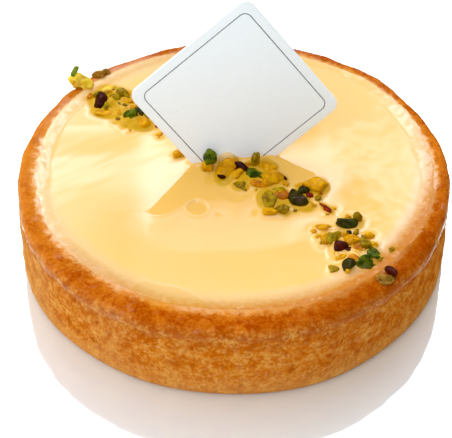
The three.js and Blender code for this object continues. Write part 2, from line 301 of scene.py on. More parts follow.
def between(rows, seed):
    """Small bits that lie round the larger pieces of a cluster, as rows like theirs."""
    draw = np.random.default_rng(seed)
    bits = []
    for nut in rows:
        for _ in range(BITS["each"] if nut.length > BITS["from"] and nut.foot == 0 else 0):
            turn = draw.uniform(0, 2 * math.pi)
            reach = BITS["reach"] * nut.length + draw.uniform(0, BITS["spread"])
            length = draw.uniform(*BITS["length"])
            kind = str(draw.choice(BIT_KINDS))
            place = (nut.x + reach * math.cos(turn), nut.y + reach * math.sin(turn))
            size = (length, BITS["breadth"] * length, BITS["height"] * length)
            bits.append(Nut(*place, *size, draw.uniform(0, 90), kind))
    return tuple(bits)


CLUSTERS = (NUTS_BEHIND, NUTS_AT_CARD, NUTS_IN_FRONT)
ALL_ON_CREAM = sum(((*rows, *between(rows, seed)) for seed, rows in enumerate(CLUSTERS)), ())


def wave(rows, angle):
    """Sum of waves round the tart, from rows of height, count and phase."""
    return sum(height * np.sin(count * angle + phase) for height, count, phase in rows)


def inner_shift(angle):
    """How far the shell's inner edge lies outside its nominal circle."""
    return FILLING_SHIFT[0] * np.cos(angle) + FILLING_SHIFT[1] * np.sin(angle) + wave(INNER_WAVES, angle)


def smooth(low, high, value):
    """0 at low, 1 at high, and an eased step between them."""
    share = np.clip((value - low) / (high - low), 0, 1)
    return share * share * (3 - 2 * share)


def bell(value, width):
    """1 at 0, and less and less away from it on both sides."""
    return np.exp(-((value / width) ** 2))


def near_side(turn, middle, width):
    """1 on the tart's side at an angle in degrees, and less and less away from it."""
    return bell((turn - middle + 180) % 360 - 180, width)


def on_sides(turn, rows):
    """Sum over rows of a share, the middle of the side that has it, and that side's half width in degrees."""
    return sum(share * near_side(turn, middle, width) for share, middle, width in rows)


def arc(centre, bend, start, end, steps):
    """Points of a profile on an arc, both ends included, with the angles in degrees."""
    angles = np.radians(np.linspace(start, end, steps + 1))
    return np.stack([centre[0] + bend * np.cos(angles), centre[1] + bend * np.sin(angles)], 1)


def run(start, end, spacing):
    """Points of a profile on a straight line, both ends left out."""
    steps = max(2, round(math.dist(start, end) / spacing))
    share = np.arange(1, steps)[:, None] / steps
    return np.array(start) + (np.array(end) - np.array(start)) * share


def turned_faces(rings, steps):
    """Faces of a profile turned about an axis, whose first and last points lie on that axis."""
    first, last = 0, 1 + (rings - 2) * steps
    faces = []
    step = np.arange(steps)
    after = (step + 1) % steps
    for side in step:
        faces.append((first, 1 + after[side], 1 + side))
        base = 1 + (rings - 3) * steps
        faces.append((last, base + side, base + after[side]))
    for ring in range(rings - 3):
        low = 1 + ring * steps
        high = low + steps
        faces.extend(zip(low + step, low + after, high + after, high + step))
    return faces


def mesh_piece(name, points, faces, attributes=None):
    """A smooth-shaded piece from points in millimetres, with a value a point for each named attribute."""
    mesh = bpy.data.meshes.new(name)
    mesh.from_pydata((np.asarray(points) * MM).tolist(), [], [tuple(int(v) for v in f) for f in faces])
    for key, values in (attributes or {}).items():
        mesh.attributes.new(key, "FLOAT", "POINT").data.foreach_set("value", np.asarray(values, np.float32))
    mesh.shade_smooth()
    mesh.validate()
    piece = bpy.data.objects.new(name, mesh)
    bpy.context.scene.collection.objects.link(piece)
    return piece


def settle(piece, slot, *nodes):
    """The piece rides with the tart, and hides the plain solids of the nodes named. Its slot is not used."""
    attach(piece, "root")
    if nodes:
        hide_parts(*nodes)


class Shader:
    """Short ways to add and link nodes in a material, a world or a node group."""

    def __init__(self, tree):
        self.tree = tree
        self.nodes = tree.nodes

    def add(self, kind, **values):
        node = self.nodes.new(kind)
        for key, value in values.items():
            setattr(node, key, value)
        return node

    def feed(self, socket, value):
        if isinstance(value, bpy.types.NodeSocket):
            self.tree.links.new(value, socket)
        else:
            socket.default_value = value

    def set(self, node, **values):
        """Feeds a node's inputs by name, with an underscore for a space."""
        for key, value in values.items():
            self.feed(node.inputs[key.replace("_", " ")], value)
        return node

    def math(self, operation, first, second=0.0):
        node = self.add("ShaderNodeMath", operation=operation)
        self.feed(node.inputs[0], first)
        self.feed(node.inputs[1], second)
        return node.outputs[0]

    def times(self, first, second):
        return self.math("MULTIPLY", first, second)

    def dot(self, first, second):
        node = self.add("ShaderNodeVectorMath", operation="DOT_PRODUCT")
        self.feed(node.inputs[0], first)
        self.feed(node.inputs[1], second)
        return node.outputs["Value"]

    def mix(self, share, first, second):
        node = self.add("ShaderNodeMix", data_type="RGBA")
        self.feed(node.inputs["Factor"], share)
        self.feed(node.inputs[6], first)
        self.feed(node.inputs[7], second)
        return node.outputs[2]

    def span(self, value, low, high, to_low=0.0, to_high=1.0):
        """The value eased from one range into another."""
        node = self.add("ShaderNodeMapRange", interpolation_type="SMOOTHSTEP")
        for socket, number in zip(node.inputs[:5], (value, low, high, to_low, to_high)):
            self.feed(socket, number)
        return node.outputs[0]

    def ramp(self, value, stops):
        """Colours along a value, from stops of place and linear colour."""
        node = self.add("ShaderNodeValToRGB")
        self.feed(node.inputs[0], value)
        ramp = node.color_ramp
        while len(ramp.elements) < len(stops):
            ramp.elements.new(0.5)
        for element, (place, colour) in zip(ramp.elements, stops):
            element.position = place
            element.color = colour
        return node.outputs[0]

    def tinted(self, base, share, tone):
        """The base with a display colour laid over a share of it."""
        return self.mix(share, base, linear(*tone))

    def attribute(self, name, strength=1.0):
        value = self.add("ShaderNodeAttribute", attribute_name=name).outputs["Fac"]
        return value if strength == 1.0 else self.times(value, strength)

    def noise_at(self, scale, detail, roughness):
        place = self.add("ShaderNodeTexCoord").outputs["Object"]
        node = self.add("ShaderNodeTexNoise")
        return self.set(node, Vector=place, Scale=scale, Detail=detail, Roughness=roughness).outputs["Fac"]

    def noise(self, size, detail, roughness=0.55):
        """Noise whose features are about size millimetres across."""
        return self.noise_at(1 / (size * MM), detail, roughness)

    def bump(self, height, strength, distance):
        node = self.add("ShaderNodeBump")
        return self.set(node, Height=height, Strength=strength, Distance=distance * MM).outputs[0]

    def mottle(self, low, high, patch, spread):
        """The shared mottle between two linear colours, with its outputs Color and Height."""
        node = self.add("ShaderNodeGroup", node_tree=mottle_group())
        return self.set(node, Low=low, High=high, Patch=patch, Spread=spread).outputs


def surface(name, **values):
    """A new material and its Principled shader, with the shader's own sockets set."""
    material = bpy.data.materials.new(name)
    material.use_nodes = True
    shader = Shader(material.node_tree)
    return material, shader, shader.set(shader.nodes["Principled BSDF"], **values)


def group_tree(name, inputs, outputs):
    """An empty node group with float or colour sockets, and its input and output nodes."""
    tree = bpy.data.node_groups.new(name, "ShaderNodeTree")
    for socket, kind, default in inputs:
        made = tree.interface.new_socket(socket, in_out="INPUT", socket_type=f"NodeSocket{kind}")
        made.default_value = default
    for socket, kind in outputs:
        tree.interface.new_socket(socket, in_out="OUTPUT", socket_type=f"NodeSocket{kind}")
    shader = Shader(tree)
    return tree, shader, shader.add("NodeGroupInput"), shader.add("NodeGroupOutput")


MOTTLE = {"level": 0.5, "detail": 4.0, "roughness": 0.5}


def mottle_group():
    """Uneven colour between a low and a high tone, in patches of a size in millimetres, with its height."""
    if "mottle" in bpy.data.node_groups:
        return bpy.data.node_groups["mottle"]
    tree, shader, given, result = group_tree(
        "mottle",
        (
            ("Low", "Color", (0, 0, 0, 1)),
            ("High", "Color", (1, 1, 1, 1)),
            ("Patch", "Float", 1.0),
            ("Spread", "Float", 0.12),
        ),
        (("Color", "Color"), ("Height", "Float")),
    )
    scale = shader.math("DIVIDE", 1 / MM, given.outputs["Patch"])
    low = shader.math("SUBTRACT", MOTTLE["level"], given.outputs["Spread"])
    high = shader.math("ADD", MOTTLE["level"], given.outputs["Spread"])
    share = shader.span(shader.noise_at(scale, MOTTLE["detail"], MOTTLE["roughness"]), low, high)
    shader.set(result, Color=shader.mix(share, given.outputs["Low"], given.outputs["High"]), Height=share)
    return tree


class StageSettings(bpy.types.PropertyGroup):
    floor_size: bpy.props.FloatProperty(
        name="Floor size", description="Side of the square floor", default=3.0, unit="LENGTH"
    )
    floor_colour: bpy.props.FloatVectorProperty(
        name="Floor colour", description="Colour of the floor", default=(0.87, 0.93, 0.81), size=3,
        subtype="COLOR",
    )
    daylight: bpy.props.FloatProperty(
        name="Daylight", description="Strength of the even light from all sides", default=0.5, min=0
    )
    panel_colour: bpy.props.FloatVectorProperty(
        name="Panel colour", description="Colour of the soft panels", default=(0.95, 1.0, 1.3), size=3,
        subtype="COLOR", soft_max=2,
    )
    lens: bpy.props.FloatProperty(
        name="Lens", description="Focal length on a sensor 36 mm wide", default=148.45,
        subtype="DISTANCE_CAMERA",
    )
    elevation: bpy.props.FloatProperty(
        name="Elevation", description="How steeply the camera looks down", default=math.radians(43.05),
        subtype="ANGLE",
    )
    distance: bpy.props.FloatProperty(
        name="Distance", description="From the camera to the point it looks at", default=0.35, unit="LENGTH"
    )


class ShellSettings(bpy.types.PropertyGroup):
    spacing: bpy.props.FloatProperty(
        name="Spacing", description="Distance between neighbouring points of the crust", default=0.0003,
        unit="LENGTH",
    )
    relief: bpy.props.FloatProperty(
        name="Relief", description="Height of the sandy grain on the wall", default=0.00012, unit="LENGTH"
    )
    baked: bpy.props.FloatVectorProperty(
        name="Baked", description="Colour of the wall", default=linear(206, 113, 18)[:3], size=3,
        subtype="COLOR",
    )
    glaze_depth: bpy.props.FloatProperty(
        name="Glaze depth", description="How far the glaze runs down the wall", default=0.0021, unit="LENGTH"
    )


class CreamSettings(bpy.types.PropertyGroup):
    spacing: bpy.props.FloatProperty(
        name="Spacing", description="Distance between neighbouring points of the cream", default=0.00023,
        unit="LENGTH",
    )
    mound: bpy.props.FloatProperty(
        name="Mound", description="Share of the full height that the glaze has round the card", default=0.85,
        min=0,
    )
    colour: bpy.props.FloatVectorProperty(
        name="Colour", description="Colour of the lemon cream", default=(0.8, 0.44, 0.06), size=3,
        subtype="COLOR",
    )


class NutSettings(bpy.types.PropertyGroup):
    seed: bpy.props.IntProperty(name="Seed", description="Changes the shape of every piece", default=4, min=0)
    roughness: bpy.props.FloatProperty(
        name="Roughness", description="Roughness under the glaze", default=0.45, min=0, max=1,
        subtype="FACTOR",
    )


class CardSettings(bpy.types.PropertyGroup):
    line_inset: bpy.props.FloatProperty(
        name="Line inset", description="From the card's edge to its thin border line", default=0.0017,
        unit="LENGTH",
    )
    line_width: bpy.props.FloatProperty(
        name="Line width", description="Width of the thin border line", default=0.00018, unit="LENGTH"
    )
    colour: bpy.props.FloatVectorProperty(
        name="Colour", description="Colour of the card", default=(0.88, 0.93, 0.85), size=3, subtype="COLOR"
    )


UNDER_SPACING = 4
ROUND_STEPS = {"foot": 7, "outer": 9, "inner": 6, "corner": 4}


def shell_profile(spacing):
    """The shell's outline from the axis underneath, up the wall, over the rim and back to the axis inside,
    and the stretch that each of its points belongs to."""
    foot, outer, inner, corner = (ROUNDS[k] for k in ("foot", "outer", "inner", "corner"))
    wall_top = TART_HEIGHT - outer
    inside = FILLING_RADIUS - DRAFT
    inner_top = TART_HEIGHT - CREAM_DROP / 2
    parts = (
        ("under", [[0, 0]]),
        ("under", run([0, 0], [TART_RADIUS - foot, 0], UNDER_SPACING)),
        ("under", arc([TART_RADIUS - foot, foot], foot, -90, 0, ROUND_STEPS["foot"])),
        ("wall", run([TART_RADIUS, foot], [TART_RADIUS, wall_top], spacing)),
        ("rim", arc([TART_RADIUS - outer, wall_top], outer, 0, 90, ROUND_STEPS["outer"])),
        ("rim", run([TART_RADIUS - outer, TART_HEIGHT], [FILLING_RADIUS + inner, inner_top], spacing)),
        ("rim", arc([FILLING_RADIUS + inner, inner_top - inner], inner, 90, 180, ROUND_STEPS["inner"])),
        ("inside", arc([inside - corner, FLOOR + corner], corner, 0, -90, ROUND_STEPS["corner"])),
        ("inside", [[0, FLOOR]]),
    )
    points = np.concatenate([np.asarray(p, float) for _, p in parts])
    kinds = np.concatenate([[k] * len(p) for k, p in parts])
    return points, kinds


# Where the glaze climbs the rim: height, middle and half width in degrees
CLIMBS = ((0.03, 170, 36), (0.02, 24, 26))


def shine(turn):
    """How thick the glaze lies on the rim on each side, from 0 to 1."""
    return np.clip(sum(near_side(turn, middle, width) for _, middle, width in CLIMBS), 0, 1)


# Where the rim's rounded outer edge counts as wall: so far below the top, and beyond a radius
EDGE_DROP = 0.3
EDGE_RADIUS = 38
# Size and number of lattices of the wall's sand, and its dots as lattice size, share of cells and radius
SAND = (2.4, 3)
WIDE_PITS = (2.2, 0.4, 0.75)
FINE_PITS = (1.2, 0.2, 0.42)
GRIT = (0.9, 0.4, 0.5)
FINE_PIT_DEPTH = 0.8
# Pits start this far along the way over the rim
PITS_FROM = 0.95
# Parts of the relief: what each adds, what the glaze hides of it, and what is left inside and underneath
RELIEF = {"sand": 1.3, "pits": 2.2, "grit": 0.6, "glazed": 0.5, "hidden": 0.3}
# How far the glaze's lower end wanders, as height, size and layer
GLAZE_END = ((0.45, 5, 0.5), (0.2, 1.6, 2.5))
# The glaze on the crust: how soft it ends, how thick it is, the lip at its end, and the wet line there
GLAZE = {"softness": 0.25, "thickness": 0.05, "lip": 0.05, "lip_width": 0.3, "line_width": 0.22}
# Sides on which the glaze shows, as share, middle and half width in degrees: in a band below the rim's edge,
# in a line where it ends, and on the rim's inner side
BAND_SIDES = ((0.3, 180, 60), (0.6, 10, 40))
LINE_SIDES = ((0.8, 195, 35), (0.8, 330, 32))
BEHIND_SIDES = ((0.85, 115, 45),)
# The crust's paler side, partly painted light, and its browner side, partly painted shade, as share, middle
# and half width in degrees
PALE_AND_LIT_SIDES = ((1, *PALE_AND_LIT_SIDE), (0.5, 5, 28))
BROWN_AND_SHADED_SIDES = ((1, *BROWN_AND_SHADED_SIDE),)
# Ways over the rim between which the wet band and the wet inner side start, and the inner side's ends
BAND_START = (1.03, 1.07)
INNER_START = (0, 0.08)
THICK_END = (0.08, 0.32)
BEHIND_END = (0.55, 0.9)
CRUST_BEADS = (0.45, 0.62)
# Patches of more and less wet, golden and brown crust, as height, size and layer
WET_PATCHES = (1, 1.6, 8)
GOLDEN_PATCHES = (0.25, 7, 3)
BROWN_PATCHES = (0.2, 6, 9)
# Shifts that give the fine pits and the grit patterns of their own
FINE_PITS_SHIFT = 5
GRIT_SHIFT = 9


def crust_wetness(x, y, height, way, side, glaze, above_end):
    """How wet each point of the crust is: below the rim's edge, where the glaze ends, in its beads, and on
    the rim's inner side."""
    beads = smooth(*CRUST_BEADS, sandy(x, y, height, 2.2, 2))
    uneven = patches(x, y, *WET_PATCHES)
    band = smooth(*BAND_START, way) * glaze * (0.12 + on_sides(side, BAND_SIDES))
    line = bell(above_end, GLAZE["line_width"]) * (0.1 + on_sides(side, LINE_SIDES))
    thick = (1 - smooth(*THICK_END, way)) * (0.08 + 0.8 * shine(side)) * smooth(-0.5, 0.3, uneven)
    behind = (1 - smooth(*BEHIND_END, way)) * on_sides(side, BEHIND_SIDES) * smooth(-0.8, 0.1, uneven)
    inner = smooth(*INNER_START, way) * np.maximum(thick, behind)
    return np.clip(band + 0.9 * line + inner + 0.5 * beads * glaze, 0, 1)


def shell_points(settings):
    """Points of the shell with its waves, grain and glaze, and the attributes that its material reads. Its
    way is 0 at the rim's inner edge, 1 at the outer edge and 2 at the foot."""
    spacing = settings.spacing / MM
    profile, kinds = shell_profile(spacing)
    steps = round(2 * math.pi * TART_RADIUS / spacing)
    angle = np.arange(steps) * 2 * math.pi / steps
    radius, height = (np.repeat(profile[1:-1, i][:, None], steps, 1) for i in (0, 1))
    kind = np.repeat(kinds[1:-1][:, None], steps, 1)
    turn = np.repeat(angle[None], len(radius), 0)
    side = np.degrees(turn)
    inner, outer = inner_shift(turn), wave(OUTER_WAVES, turn)
    reach = np.clip((radius - FILLING_RADIUS) / (TART_RADIUS - FILLING_RADIUS), 0, 1)
    x, y = radius * np.cos(turn), radius * np.sin(turn)
    grain = noise(x / GRAIN["size"], y / GRAIN["size"], height / GRAIN["size"])
    rimward, inside, under = (kind == name for name in ("rim", "inside", "under"))
    shown, outside = rimward | (kind == "wall"), ~(inside | under)
    out = np.where(inside, inner * radius / FILLING_RADIUS, outer * radius / TART_RADIUS)
    out = np.where(shown, inner + (outer - inner + GRAIN["wall"] * grain) * reach, out)
    crest = np.where(rimward, wave(CREST_WAVES, turn) + GRAIN["rim"] * grain, 0)

    rounded_over = (height < TART_HEIGHT - EDGE_DROP) & (radius > EDGE_RADIUS)
    way = np.where(rimward & ~rounded_over, reach, 1 + (TART_HEIGHT - height) / TART_HEIGHT)
    glaze_end = TART_HEIGHT - settings.glaze_depth / MM + sum(patches(x, y, *row) for row in GLAZE_END)
    glaze = smooth(glaze_end - GLAZE["softness"], glaze_end + GLAZE["softness"], height)
    sand = sandy(x, y, height, *SAND)
    fine_pits = FINE_PIT_DEPTH * dots(x, y + FINE_PITS_SHIFT, height, *FINE_PITS)
    pits = np.maximum(dots(x, y, height, *WIDE_PITS), fine_pits) * (way > PITS_FROM)
    grit = dots(x + GRIT_SHIFT, y, height, *GRIT)
    relief = (RELIEF["sand"] * sand - RELIEF["pits"] * pits) * (1 - RELIEF["glazed"] * glaze)
    relief = settings.relief / MM * (relief + RELIEF["grit"] * grit) * np.where(shown, 1, RELIEF["hidden"])
    lip = GLAZE["lip"] * bell(height - glaze_end, GLAZE["lip_width"])
    push = relief + (GLAZE["thickness"] * glaze + lip) * shown
    radius = radius + out + np.where(rimward, reach, 1) * push * outside
    height = height + crest + np.where(rimward, 1 - reach**4, 0) * push

    ring = np.stack([radius * np.cos(turn), radius * np.sin(turn), height], -1).reshape(-1, 3)
    points = np.concatenate([[[0, 0, profile[0][1]]], ring, [[0, 0, profile[-1][1]]]])
    wet = crust_wetness(x, y, height, way, side, glaze, height - glaze_end)
    keep = {
        "way": way,
        "wet": wet * outside,
        "pit_shade": pits,
        "golden": np.clip(on_sides(side, PALE_AND_LIT_SIDES) + patches(x, y, *GOLDEN_PATCHES), 0, 1),
        "brown_and_shade": np.clip(on_sides(side, BROWN_AND_SHADED_SIDES) + patches(x, y, *BROWN_PATCHES), 0, 1),
        "grit": grit,
    }
    attributes = {key: np.concatenate([[0], value.ravel(), [0]]) for key, value in keep.items()}
    return points, turned_faces(len(profile), steps), attributes


# Tones along half the crust's way, as place, red, green and blue, on its brown and its golden sides, and the
# place from which the wall has its own colour. The golden side's tones are partly painted light
BROWN_TONES = (
    (0.08, 206, 138, 48),
    (0.14, 192, 112, 20),
    (0.2, 174, 84, 0),
    (0.3, 166, 74, 0),
    (0.5, 176, 86, 4),
    (0.58, 188, 96, 16),
)
BROWN_WALL_FROM = 0.66
GOLDEN_AND_LIT_TONES = (
    # The first, whitish stop is a painted highlight of the glaze where it climbs the rim's inner edge
    (0.08, 250, 212, 170),
    (0.13, 238, 184, 120),
    (0.19, 210, 134, 44),
    (0.3, 200, 112, 16),
    (0.5, 204, 124, 40),
)
GOLDEN_WALL_FROM = 0.56
# Tones mixed over the crust in patches, as display colours on the rim and on the wall
LIGHT_PATCH = ((206, 122, 28), (226, 160, 70))
DARK_PATCH = ((146, 52, 0), (182, 84, 0))
GRIT_TONE = ((224, 146, 60), (238, 188, 116))
# Tan wall on the paler side, partly paler baking and partly painted light
TAN_AND_LIT_WALL = (206, 142, 74)
# Painted shade in the pits of the wall
PIT_SHADE_TONE = (160, 64, 0)
# Browner crust on the front right, partly browner baking and partly painted shade on the side away from the
# light
WELL_BAKED_AND_SHADED = (132, 56, 0)
# Painted light thrown up from the floor onto the wall's lowest part
FLOOR_LIT_FOOT = (226, 170, 90)
# How ragged these tones' borders are, and the ways along which the rim turns into the wall and the wall pales
# with painted light from the floor
RAGGED = 0.13
WALLWARD = (0.95, 1.12)
FLOOR_LIT_WAYS = (1.6, 1.96)


def tones(rows):
    """Stops of a ramp from rows of place, red, green and blue."""
    return [(place, linear(*colour)) for place, *colour in rows]


def shell_material(settings):
    """Baked sweet pastry: a sandy golden wall, a browner rim and a clear glaze over the rim, with painted
    light on its paler side and painted shade on its browner side.
    """
    material, shader, principled = surface(
        "baked pastry", Coat_Roughness=0.12, Coat_IOR=1.4, Specular_IOR_Level=0.0
    )
    # golden is the paler side of the crust, partly painted light
    way, golden = shader.attribute("way"), shader.attribute("golden")
    wall = (*settings.baked, 1)
    ragged = shader.span(shader.noise(1.6, detail=4, roughness=0.65), 0.3, 0.7, -RAGGED, RAGGED)
    ways = shader.times(shader.math("ADD", way, ragged), 0.5)
    browned = shader.ramp(ways, (*tones(BROWN_TONES), (BROWN_WALL_FROM, wall)))
    lighter = shader.ramp(ways, (*tones(GOLDEN_AND_LIT_TONES), (GOLDEN_WALL_FROM, wall)))
    base = shader.mix(golden, browned, lighter)
    wallward = shader.span(way, *WALLWARD)

    def both(rim_tone, wall_tone):
        return shader.mix(wallward, linear(*rim_tone), linear(*wall_tone))

    def by_wall(on_rim, on_wall):
        return shader.span(wallward, 0, 1, on_rim, on_wall)

    base = shader.tinted(base, shader.times(wallward, golden), TAN_AND_LIT_WALL)
    fine = shader.noise(0.55, detail=3, roughness=0.7)
    coarse = shader.noise(2.2, detail=2, roughness=0.5)
    mottle = shader.math("ADD", shader.times(coarse, 0.5), shader.times(fine, 0.5))
    light = shader.times(shader.span(mottle, 0.47, 0.66), by_wall(0.5, 0.85))
    base = shader.mix(light, base, both(*LIGHT_PATCH))
    calm = shader.times(shader.span(golden, 0.0, 1.0, 0.75, 0.35), shader.span(way, 0.2, 0.5, 0.2, 1.0))
    base = shader.mix(shader.times(shader.span(mottle, 0.51, 0.38), calm), base, both(*DARK_PATCH))
    base = shader.mix(shader.times(shader.attribute("grit"), by_wall(0.3, 0.35)), base, both(*GRIT_TONE))
    base = shader.tinted(base, shader.attribute("pit_shade", 0.9), PIT_SHADE_TONE)
    # Painted shade, with browner baking, on the front right
    base = shader.tinted(base, shader.times(shader.attribute("brown_and_shade"), by_wall(0.55, 0.17)), WELL_BAKED_AND_SHADED)
    # Painted light from the floor on the lowest part of the wall
    base = shader.tinted(base, shader.span(way, *FLOOR_LIT_WAYS, 0.0, 0.32), FLOOR_LIT_FOOT)
    dry = shader.span(fine, 0.3, 0.7, 0.6, 0.85)
    crumbs = shader.bump(shader.noise(0.4, detail=3, roughness=0.6), strength=0.5, distance=0.12)
    shader.set(principled, Base_Color=base, Roughness=dry, Coat_Weight=shader.attribute("wet"), Normal=crumbs)
    return material


def outline_distance(nut, x, y):
    """Distance from the outline that a chopped piece draws on the cream, negative inside it."""
    turn = math.radians(nut.turn)
    along_it = (x - nut.x) * math.cos(turn) + (y - nut.y) * math.sin(turn)
    across_it = (y - nut.y) * math.cos(turn) - (x - nut.x) * math.sin(turn)
    share = np.sqrt((along_it / nut.length * 2) ** 2 + (across_it / nut.breadth * 2) ** 2)
    return (share - 1) * (nut.length + nut.breadth) / 4


def card_frame():
    """The card's placing, in millimetres."""
    turn = Euler((0, 0, math.radians(CARD_TURN))).to_matrix().to_4x4()
    lean = Euler((math.radians(90 - CARD_LEAN), 0, 0)).to_matrix().to_4x4()
    spin = Euler((0, 0, math.radians(CARD_SPIN))).to_matrix().to_4x4()
    return Matrix.Translation(CARD_CENTRE) @ turn @ lean @ spin


def card_distance(x, y):
    """Distance from the card where it enters the cream, negative inside it."""
    place = card_frame()
    half = CARD_SIDE / 2
    left, lowest, right = (place @ Vector((a * half, b * half, 0)) for a, b in ((-1, 1), (-1, -1), (1, -1)))
    ends = []
    for upper in (left, right):
        share = (upper.z - CREAM_TOP) / (upper.z - lowest.z)
        ends.append(upper.lerp(lowest, share))
    start, way = ends[0], ends[1] - ends[0]
    share = np.clip(((x - start.x) * way.x + (y - start.y) * way.y) / (way.x**2 + way.y**2), 0, 1)
    dx, dy = x - start.x - share * way.x, y - start.y - share * way.y
    return np.hypot(dx, dy) - CARD_THICKNESS / 2


# The glaze stands in a low mound round the card. Its front margin as x, y, from left to right
MOUND_MARGIN = (
    (-40, -9.6),
    (-15.8, -9.6),
    (-14.6, -10.8),
    (-12.8, -11.0),
    (-11.0, -10.2),
    (-9.6, -9.0),
    (-8.4, -7.8),
    (-6.4, -6.6),
    (-4.6, -7.6),
    (-3, -7.2),
    (-1.2, -7.4),
    (0.3, -8.2),
    (2.2, -7.4),
    (4, -6.2),
    (10.4, -3.3),
    (17.2, -1.4),
    (40, 0),
)
# The same further down the mound, where it runs smoother
MOUND_FOOT = ((-15, -8.8), (-8, -8.6), (0, -8.0), (6, -7.4), (12, -5.6), (18, -3))
# How far the corners of both are eased, and over which distance the one passes into the other
MARGIN_EASE = 0.5
FOOT_EASE = 4
MARGIN_TO_FOOT = (1.5, 6)
# The mound's middle, as x
MOUND_MIDDLE = 1.4
# Share of the mound's height that the pieces on it are lifted
MOUND_LIFT = 0.7
# How steep the mound is, as distance and steepness: sideways from its middle, forward of its margin as a
# share of its height, and backward of the card likewise
SIDE_FALL = ((5, 0), (9, 0.07), (16, 0.07), (21, 0))
BROAD_FALL = ((5, 0), (10, 0.05), (20, 0.05), (27, 0))
FRONT_FALL = ((-0.4, 0), (0, 0.2), (0.6, 0.18), (2.6, 0.16), (5.2, 0.11), (8, 0.068), (10, 0.05), (12.6, 0))
BACK_FALL = ((7, 0), (12, 0.125), (15, 0.125), (20, 0))
# The bubble beside the card
BUBBLE = {"x": -6.5, "y": -8.9, "radius": 2.05}
# Where a thin second run of glaze ends near the front, as x, y, from left to right
SECOND_RUN = (
    (-19, -34),
    (-17.4, -27.6),
    (-15.6, -26.5),
    (-13, -27.8),
    (-10, -28.2),
    (-7, -29.8),
    (-4.6, -32.2),
    (-3, -38),
)
# The glaze's nominal depth below the cream's top
GLAZE_SINK = 0.1


def fallen(rows, distance):
    """Height lost by a distance, from rows of distance and steepness."""
    places, steepness = (np.array(column, float) for column in zip(*rows))
    grid = np.linspace(places[0], places[-1], 300)
    steep = np.interp(grid, places, steepness)
    lost = np.concatenate([[0], np.cumsum((steep[1:] + steep[:-1]) / 2 * np.diff(grid))])
    return np.interp(distance, grid, lost)


def along(rows, x, ease):
    """Value at x of rows of x and value, with their corners eased over a distance."""
    places, values = zip(*rows)
    return sum(np.interp(x + ease * step / 3, places, values) for step in range(-3, 4)) / 7


def beyond_margin(x, y):
    """How far in front of the mound's margin a point lies."""
    gap = along(MOUND_MARGIN, x, MARGIN_EASE) - y
    return gap + (along(MOUND_FOOT, x, FOOT_EASE) - y - gap) * smooth(*MARGIN_TO_FOOT, gap)


def mound(x, y):
    """Height of the mound of glaze round the card, in millimetres."""
    side = np.abs(x - MOUND_MIDDLE)
    full, broad = (fallen(rows, np.inf) - fallen(rows, side) for rows in (SIDE_FALL, BROAD_FALL))
    return full * (1 - fallen(BACK_FALL, y)) - broad * fallen(FRONT_FALL, beyond_margin(x, y))


def shifted(x, y):
    """The y of a piece on the mound, which is set forward as far as it is lifted."""
    return y - MOUND_LIFT * float(mound(x, y))


# Slow swells of the glaze
SWELL_ALL_OVER = (0.022, 0, 12, 2)
SWELL_BACK = (0.016, 5, 3.6, 2)
SWELL_RIGHT = (0.032, 7, 5.5, 3)
SWELL_MIDDLE = (0.022, 2, 5, 2)
# The swells at the back run lengthwise in this direction, and are stretched in it. Those at the right are
# squeezed sideways
BACK_SLOPE = 0.7
BACK_STRETCH = 3.2
RIGHT_SQUEEZE = 1.4
HIGHER_BACK_LEFT = 0.15


def swell(row, x, y):
    """Unevenness of the glaze from a row of height, layer, size and number of lattices."""
    height, layer, size, lattices = row
    return height * sandy(x, y, layer, size, lattices)


def uneven_glaze(x, y):
    """The glaze's slow swells, and its higher level at the back left."""
    lengthwise, across = (x + BACK_SLOPE * y) / BACK_STRETCH, y - BACK_SLOPE * x
    level = swell(SWELL_ALL_OVER, x, y)
    level += swell(SWELL_BACK, lengthwise, across) * smooth(8, 20, across) * smooth(35, 26, across)
    level += swell(SWELL_RIGHT, x * RIGHT_SQUEEZE, y) * smooth(14, 22, x + 0.2 * y)
    level += swell(SWELL_MIDDLE, x, y) * smooth(3, 8, x) * smooth(22, 16, x)
    return level + HIGHER_BACK_LEFT * smooth(5, 15, y) * smooth(-13, -21, x)


# The glaze's border on the rim: how high it rises, how far beyond the shell's inner edge that rise starts and
# ends, and how deep and where it dips under the rim
BORDER_RISE = 0.31
BORDER_START = -1.7
BORDER_END = 0.7
BORDER_DIP = 0.4
BORDER_DIP_RANGE = (0.9, 1.6)
# How the rise varies as a share of itself and in millimetres, and how its start wanders: each as height, size
# and layer
RISE_SHARE = (0.12, 3.5, 8)
RISE_RIPPLE = (0.05, 0.8, 6)
START_WANDER = (0.35, 4, 14)
# Sides on which the rise starts earlier, as distance, middle and half width in degrees
EARLY_STARTS = ((0.9, 20, 30), (1.1, 265, 60))
# Beads in the border's glaze, as lattice size, share of cells and radius, and their height
BEADS = (1.1, 0.45, 0.42)
BEAD_HEIGHT = 0.06
BEADS_START = (-1.4, -0.5)
# Height, size and number of lattices of the border's grain, and where it starts
BORDER_GRAIN = (0.02, 1.5, 2)
BORDER_GRAIN_START = (-1.6, -0.4)


def border_height(x, y, turn, beyond):
    """Height of the glaze's border, a thin layer that follows the rim's crest and dips under its edge."""
    side = np.degrees(turn)
    share, ripple, wander = (patches(x, y, *row) for row in (RISE_SHARE, RISE_RIPPLE, START_WANDER))
    rise = (BORDER_RISE + on_sides(side, CLIMBS)) * (1 + share) + wave(CREST_WAVES, turn) + ripple
    start = BORDER_START + wander - on_sides(side, EARLY_STARTS)
    return rise * smooth(start, BORDER_END, beyond) - BORDER_DIP * smooth(*BORDER_DIP_RANGE, beyond)


# Glaze drawn up round a piece: its height for a length of 0 and for each millimetre of length up to a limit,
# and how it falls away outside the piece
DRAWN_HEIGHT = 0.12
DRAWN_PER_LENGTH = 0.1
DRAWN_LENGTH = 3
DRAWN_REACH = 0.55
DRAWN_POWER = 1.3
